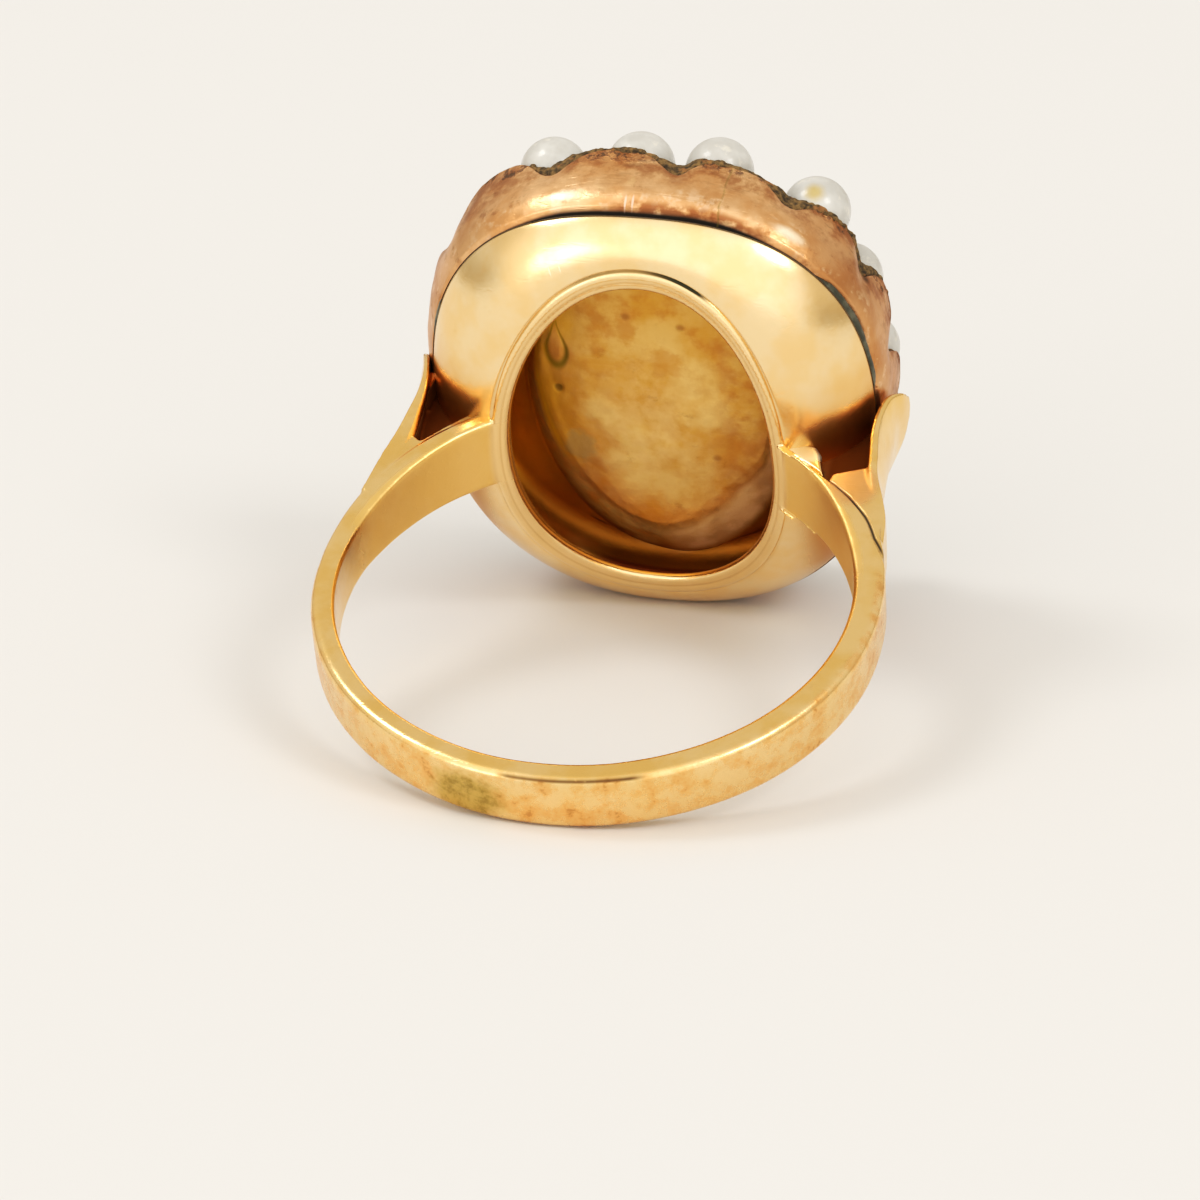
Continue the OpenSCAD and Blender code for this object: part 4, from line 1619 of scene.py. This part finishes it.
@dataclass
class Locket(Part):
    """The stained back plate of the locket with its raised egg, seen through the cup's opening."""

    top: float = 12.12
    foot: float = 11.57
    crown: float = 10.62
    dome: float = 0.2
    crown_egg: tuple[float, float, float, float] = (4.0, 6.2, -0.05, 1.0)
    foot_egg: tuple[float, float, float, float] = (4.75, 7.35, -0.05, 0.0)
    pointed: float = 0.16
    cut_away: float = 0.4
    fillet: float = 0.6
    slope: Table = (
        (0.0, 0.0), (0.12, 0.02), (0.28, 0.1), (0.45, 0.24), (0.64, 0.48), (0.82, 0.76), (0.94, 0.93),
        (1.0, 1.0),
    )
    pit: tuple[float, float] = (-3.47, 0.46)
    pit_stain: Mark = Mark((-3.47, 10.45, 0.46), (0.2, 3.0, 0.24), 0.4, 0.75, tone(110, 74, 20), 0.7, 0.4)
    spots: tuple[Mark, ...] = tuple(
        Mark((x, 10.45, z), (0.24, 3.0, 0.22), 0.2, 0.45, tone(140, 84, 28), 0.6, 0.7)
        for x, z in ((2.06, -2.12), (-0.88, 3.96), (1.03, 3.67))
    )
    ridge: Table = ((-2.92, -3.08), (-0.79, -3.69), (2.35, -4.16))
    sides: int = 360

    @property
    def drop(self) -> Array:
        """How far the egg's side falls at each place round it: least on the lower right."""
        turn = turns(self.sides)
        return (self.foot - self.crown) * (1 - 0.5 * np.clip(np.cos(turn + 0.6), 0, 1) ** 2)

    def egg_row(self, share: float, spread: float, depth: Array | float) -> Array:
        """One row round the egg.

        Args:
            share: 0 in its middle and 1 at the row's full size.
            spread: 0 for the crown's outline and 1 for the foot's.
            depth: Distance from the finger axis.

        Returns:
            The row's points.
        """
        crown, foot = np.array(self.crown_egg), np.array(self.foot_egg)
        half_x, half_z, x, z = crown + (foot - crown) * spread
        turn = turns(self.sides)
        low = np.clip(-np.sin(turn), 0, 1)
        cosine = np.cos(turn)
        cut = np.where(cosine < 0, self.pointed * low, self.cut_away * eased(0.4, 0.9, low))
        reach_x = share * half_x * (1 - (1 - spread) * cut)
        return raised(np.stack([x + reach_x * cosine, z + share * half_z * np.sin(turn)], -1), depth)

    def finish(self) -> bpy.types.Material:
        """Dresses the plate: sandy gold, brown mottling, a loop of solder, a pit, a painted highlight along a
        ridge, painted shade at the tray's wall and lower left, and a painted pale reflection on the lower
        right slope.

        Returns:
            The material.
        """
        coat = STAINED_GOLD.coat(self.ring, "locket")
        g = coat.graph
        mottle = g.noise(1.1, 6.0, 0.6)
        high = g.z.between(-1.0, 4.5)
        rich = g.spot((0.0, 10.45, -0.9), (3.6, 4.0, 5.0)).between(0.5, 1.2)
        coat.stain(rich * 0.55, tone(212, 158, 58), 0.46, 0.9)
        coat.stain(mottle.between(0.44, 0.62) * (high * 0.4 + 0.15), tone(204, 138, 54), 0.5, 0.9)
        side = abs(g.x + 0.5).between(1.8, 3.6) * g.noise(0.9, 4.0).between(0.36, 0.6)
        coat.stain(side * 0.45, tone(186, 110, 36), 0.5, 0.9)
        sandy = g.spot((-0.3, 10.45, -1.0), (2.6, 2.0, 3.4)).between(1.1, 0.3)
        coat.stain(sandy * g.noise(0.7, 5.0).between(0.3, 0.6) * 0.5, tone(246, 212, 152), 0.5, 0.9)
        half_x, half_z, x, z = self.foot_egg
        endless = 50.0
        egg = g.spot((x, self.foot, z), (half_x, endless, half_z))
        slope = g.y.between(10.64, 10.76) * egg.between(1.02, 0.94)
        patchy = g.noise(0.8, 4.0).between(0.36, 0.6)
        wall = g.superellipse(HEAD.seam.inset(1.1)).between(0.97, 1.0)
        moat = g.y.between(10.75, 11.3).most(wall)
        coat.stain(moat * 0.85, tone(216, 164, 40), 0.36, 1.0)
        # Near-black where the tray's wall runs in under the cup: painted shade.
        coat.stain(g.y.between(10.7, 10.5) * wall, tone(96, 44, 4), 0.8, 0.4)
        # Redder and darker towards the lower left of the tray: painted shade.
        low = (g.z - g.x * 0.15).between(-1.5, -5.0) * moat
        coat.stain(low * 0.75, tone(124, 54, 8), 0.5, 0.8)
        coat.stain(slope * g.x.between(0.6, -1.0) * (patchy * 0.6 + 0.1), tone(188, 150, 88), 0.6, 0.2)
        # Pale and hardly metallic on the lower right slope: painted reflection.
        coat.stain(slope * g.x.between(-0.6, 1.0) * (patchy * 0.3 + 0.6), tone(232, 190, 134), 0.6, 0.1)
        closing = 1 - g.z.between(1.9, 3.4) * 0.75
        tear = (((g.x + 3.44) / (closing * 0.42)) ** 2.0 + ((g.z - 2.48) / 0.98) ** 2.0) ** 0.5
        coat.stain(tear.band(1.0, 0.34), tone(104, 88, 14), 0.6, 0.4)
        # Yellow line along the crown's left edge: painted highlight on the ridge.
        edge = g.y.band(10.7, 0.22) * g.x.between(-2.2, -3.0)
        edge = edge * g.z.between(-4.0, -1.6) * g.z.between(5.0, 3.6)
        coat.stain(edge, tone(232, 180, 40), 0.45, 0.5)
        coat.stain(tear.between(0.75, 0.5) * 0.4, tone(214, 154, 84), 0.4, 0.95)
        coat.mark(self.pit_stain)
        smudge = g.ragged((-2.85, 10.45, -2.1), (0.75, 3.0, 0.85), (0.4, 4.0, 0.8))
        coat.stain(smudge.between(1.0, 0.5) * 0.5, tone(176, 160, 112), 0.6, 0.6)
        coat.mark(*self.spots)
        return coat.done({"Specular IOR Level": 0.4})

    def build(self) -> None:
        """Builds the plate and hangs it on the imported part."""
        rows = []
        for f in np.linspace(0.01, 1.0, 70):
            rows.append(self.egg_row(f, 0.0, self.crown - self.dome * (1 - f * f)))
        table = np.array(self.slope).T
        for f in np.linspace(0, 1, 32)[1:]:
            rows.append(self.egg_row(1.0, f, self.crown + self.drop * np.interp(f, *table)))
        turn = turns(self.sides)
        tray = HEAD.seam.inset(0.7)
        inner = tray.inset(0.3)
        egg_edge = rows[-1]
        soft = self.fillet
        wall_foot = raised(inner.inset(soft).at(turn), self.foot)
        for f in np.linspace(0.1, 1, 16):
            rows.append(egg_edge + (wall_foot - egg_edge) * f)
        for angle in np.linspace(0, math.pi / 2, 12)[1:]:
            flat = inner.inset(soft * (1 - math.sin(angle))).at(turn)
            rows.append(raised(flat, self.foot - soft * (1 - math.cos(angle))))
        rows += [raised(inner.at(turn), y) for y in np.linspace(self.foot - soft, HEAD.seam_y + 0.05, 6)[1:]]
        rows += [raised(tray.inset(0.1).at(turn), HEAD.seam_y), raised(tray.at(turn), HEAD.seam_y + 0.1)]
        rows += [raised(tray.at(turn), self.top - 0.05), raised(tray.inset(0.05).at(turn), self.top)]
        rows.append(raised(tray.at(turn) * 0.02, self.top))
        mesh = lofted("locket", rows, caps=True)
        points, normals = read_points(mesh)
        facing = np.clip(-normals[:, 1], 0, 1)
        x, z = points[:, ::2].T
        line = np.interp(z, *np.array(self.ridge).T)
        ridge = eased(0.3, 0.0, np.abs(x - line)) * eased(-3.4, -2.9, z) * eased(2.6, 2.2, z)
        tear = np.sqrt(((x + 3.5) / 0.36) ** 2 + ((z - 2.3) / 0.95) ** 2)
        pit = eased(0.22, 0.05, np.hypot(x - self.pit[0], z - self.pit[1]))
        shape = 0.012 * ridge + 0.03 * eased(1.0, 0.5, tear) - 0.05 * pit
        shape = facing * (shape + 0.03 * grain(points, 1.6, 4.4, 3))
        write_points(mesh, points + normals * shape[:, None])
        self.put(mesh, "locket", self.finish(), STAINED_GOLD.slot, "locket_back")


@dataclass
class HairWindow(Part):
    """The front of the locket: a plaited pad of hair, its domed crystal and the collar round them."""

    pad_t: float = 0.9
    pad_room: float = 0.05
    plait_h: float = 0.3
    crystal_y: float = 13.12
    crystal_edge: float = 0.6
    dome: float = 1.3
    lip_y: float = 14.17
    collar: float = 0.45
    collar_round: float = 0.2
    plait: float = 1.3
    sides: int = 240

    def weave(self, flat: Array) -> Array:
        """Gives the plait's height.

        Args:
            flat: x and z of each point.

        Returns:
            The height at each point, 0 to 1.
        """
        a = (flat[..., 0] + flat[..., 1]) / self.plait
        b = (flat[..., 0] - flat[..., 1]) / self.plait
        over = np.abs(np.sin(math.pi * a / 2)) * np.abs(np.cos(math.pi * b))
        under = np.abs(np.cos(math.pi * a / 2)) * np.abs(np.sin(math.pi * b))
        return np.maximum(over, under)

    def hair_finish(self) -> bpy.types.Material:
        """Dresses the hair: fine strands that run with the plait.

        Returns:
            The material.
        """
        g = Graph("plaited_hair", self.ring)
        strands = g.noise(0.12, 2.0, 0.6, g.stretched((0.0, 0.785, 0.0), (0.08, 1.0, 1.0)))
        cross = g.noise(0.12, 2.0, 0.6, g.stretched((0.0, -0.785, 0.0), (0.08, 1.0, 1.0)))
        mixed = strands * 0.5 + cross * 0.5
        colour = g.blend(mixed.between(0.35, 0.65), tone(58, 34, 18), tone(128, 84, 48))
        coat = Coat(g, colour, 0.42, 0.0)
        coat.relief(mixed, 0.04)
        return coat.done({"Specular IOR Level": 0.6, "Sheen Weight": 0.2})

    def crystal_finish(self) -> bpy.types.Material:
        """Dresses the crystal: clear, with faint wipe marks.

        Returns:
            The material.
        """
        g = Graph("rock_crystal", self.ring)
        wiped = g.noise(0.7, 4.0, 0.6, g.stretched((0.0, 0.4, 0.0), (0.3, 1.0, 1.0)))
        coat = Coat(g, tone(250, 252, 252), wiped * 0.08 + 0.01, 0.0)
        coat.relief(wiped, 0.002)
        return coat.done({"Transmission Weight": 1.0, "IOR": 1.5})

    def build(self) -> None:
        """Builds the hair, the crystal and the collar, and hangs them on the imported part."""
        turn = turns(self.sides)
        pad = HEAD.window.inset(self.pad_room).at(turn)
        front = HEAD.shelf_y + self.pad_t - 0.02
        rows = [raised(pad * 0.02, HEAD.shelf_y), raised(pad, HEAD.shelf_y)]
        for share in np.linspace(1, 0.01, 100):
            rows.append(raised(pad * share, front + self.plait_h * (self.weave(pad * share) - 1)))
        self.put(lofted("hair", rows, caps=True), "hair", self.hair_finish(), "hair", "hair_panel")
        rim = self.crystal_y + self.crystal_edge
        rows = [raised(pad * 0.02, self.crystal_y), raised(pad, self.crystal_y), raised(pad, rim)]
        for angle in np.radians(np.linspace(2, 88, 40)):
            rows.append(raised(pad * math.cos(angle), rim + self.dome * math.sin(angle)))
        dome = lofted("crystal_dome", rows, caps=True)
        self.put(dome, "crystal_dome", self.crystal_finish(), "crystal", "crystal")
        outer = HEAD.window.inset(-self.collar)
        soft = self.collar_round
        rows = [raised(outer.at(turn), HEAD.shelf_y), raised(outer.at(turn), self.lip_y - soft - 0.1)]
        for angle in np.linspace(0, math.pi, 14):
            flat = outer.inset(soft * (1 - math.cos(angle))).at(turn)
            rows.append(raised(flat, self.lip_y - soft + soft * math.sin(angle)))
        rows += [raised(HEAD.window.at(turn), y) for y in (self.lip_y - 0.25, HEAD.shelf_y)]
        material = YELLOW_GOLD.coat(self.ring, "collar").done()
        self.put(lofted("collar", rows), "collar", material, YELLOW_GOLD.slot, "crystal_collar")


class Side(Enum):
    """Where a studio light stands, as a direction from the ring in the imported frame."""

    LEFT = (-0.57, -0.07, 0.82)
    RIGHT = (0.61, -0.33, 0.72)
    FRONT_LEFT = (-0.47, -0.85, 0.24)


@dataclass(frozen=True)
class Studio:
    """The pale floor, the soft lights and the camera."""

    floor_colour: Colour = (0.75, 0.74, 0.72)
    bright_side: Triple = (0.0, -0.9, 0.43)
    bright: Colour = (1.4, 1.37, 1.32)
    dim: Colour = (0.72, 0.68, 0.62)
    horizon: Colour = (0.48, 0.42, 0.33)
    watts: Triple = (1.4, 1.4, 0.45)
    contrast: Table = ((0.022, 0.013), (0.119, 0.096), (0.32, 0.335), (0.6, 0.64))
    glow_reach: tuple[float, float] = (0.25, 0.95)
    horizon_reach: tuple[float, float] = (0.03, 0.3)
    lamp_distance: float = 0.9
    lamp_size: float = 0.3
    lamp_colour: Colour = (1.0, 0.985, 0.96)
    floor_reach: float = 1.5
    floor_drop: float = 0.00001
    sensor_mm: float = 36.0
    frame_px: float = 1200.0
    focal_px: float = 4825.56
    camera_mm: Triple = (30.58503, -115.91537, 106.33599)
    look: Triple = (-0.19002793, 0.72447109, -0.66259416)
    right: Triple = (0.97759549, 0.20186211, -0.0596552)

    def place_camera(self, ring: RingFrame) -> None:
        """Puts the camera where the photograph was taken from.

        Args:
            ring: The ring's frame.
        """
        data = bpy.data.cameras.new("camera")
        data.sensor_width = self.sensor_mm
        data.lens = self.focal_px * self.sensor_mm / self.frame_px
        data.clip_start = 0.01
        camera = bpy.data.objects.new("camera", data)
        bpy.context.scene.collection.objects.link(camera)
        lean = Matrix.Rotation(ring.tilt, 3, "X")
        look = (lean @ Vector(self.look)).normalized()
        right = (lean @ Vector(self.right)).normalized()
        up = right.cross(look).normalized()
        turned = Matrix((right, up, -look)).transposed().to_4x4()
        camera.matrix_world = Matrix.Translation(ring.matrix @ Vector(self.camera_mm)) @ turned
        bpy.context.scene.camera = camera

    def lay_floor(self) -> None:
        """Lays the pale floor."""
        reach = self.floor_reach
        mesh = bpy.data.meshes.new("floor")
        corners = [(-reach, -reach, 0), (reach, -reach, 0), (reach, reach, 0), (-reach, reach, 0)]
        mesh.from_pydata(corners, [], [[0, 1, 2, 3]])
        floor = bpy.data.objects.new("floor", mesh)
        floor.location.z = -self.floor_drop
        bpy.context.scene.collection.objects.link(floor)
        material = bpy.data.materials.new("floor")
        material.use_nodes = True
        shader = material.node_tree.nodes["Principled BSDF"]
        shader.inputs["Base Color"].default_value = (*self.floor_colour, 1.0)
        shader.inputs["Roughness"].default_value = 0.9
        mesh.materials.append(material)

    def add_light(self, side: Side, watts: float) -> None:
        """Adds one soft light.

        Args:
            side: Where it stands.
            watts: Its power.
        """
        data = bpy.data.lights.new(side.name.lower(), "AREA")
        data.shape = "DISK"
        data.size = self.lamp_size
        data.energy = watts
        data.color = self.lamp_colour
        light = bpy.data.objects.new(data.name, data)
        away = Vector(side.value).normalized()
        light.location = away * self.lamp_distance
        light.rotation_euler = (-away).to_track_quat("-Z", "Y").to_euler()
        bpy.context.scene.collection.objects.link(light)

    def light_room(self) -> None:
        """Gives the room a soft glow: brightest on the camera's side, and dim at the horizon."""
        world = bpy.data.worlds.new("room")
        bpy.context.scene.world = world
        world.use_nodes = True
        room = Nodes(world.node_tree)
        smooth = {"interpolation_type": "SMOOTHSTEP"}
        colours = {"data_type": "RGBA"}
        direction = room.node("ShaderNodeTexCoord").outputs["Generated"]
        split = room.node("ShaderNodeSeparateXYZ", None, {0: direction})
        dot = {"operation": "DOT_PRODUCT"}
        facing = room.node("ShaderNodeVectorMath", dot, {0: direction, 1: self.bright_side}).outputs["Value"]
        inputs = (facing, *self.glow_reach, 0.0, 1.0)
        glow = room.node("ShaderNodeMapRange", smooth, dict(enumerate(inputs)))
        inputs = (split.outputs[2], *self.horizon_reach, 0.0, 1.0)
        rise = room.node("ShaderNodeMapRange", smooth, dict(enumerate(inputs)))
        band = room.node("ShaderNodeMix", colours, {0: rise.outputs[0], 6: self.horizon, 7: self.dim})
        light = room.node("ShaderNodeMix", colours, {0: glow.outputs[0], 6: band.outputs[2], 7: self.bright})
        room.tree.links.new(light.outputs[2], room.tree.nodes["Background"].inputs[0])

    def build(self, ring: RingFrame) -> None:
        """Sets up the camera, the floor and the lights.

        Args:
            ring: The ring's frame.
        """
        self.place_camera(ring)
        self.lay_floor()
        self.light_room()
        for side, watts in zip(Side, self.watts):
            self.add_light(side, watts)
        view = bpy.context.scene.view_settings
        view.view_transform = "Standard"
        view.use_curve_mapping = True
        for place, height in self.contrast:
            view.curve_mapping.curves[3].points.new(place, height)
        view.curve_mapping.update()


def main() -> None:
    """Builds the ring's pieces in order."""
    logging.basicConfig(level=logging.INFO, format="%(name)s %(message)s", stream=sys.stdout)
    ring = RingFrame.from_record(frame["record"])
    Studio().build(ring)
    Shank(ring).build()
    Cup(ring).build()
    middles = Pearls(ring).build()
    Border(ring, middles).build()
    Locket(ring).build()
    HairWindow(ring).build()


if __name__ == "__main__":
    main()
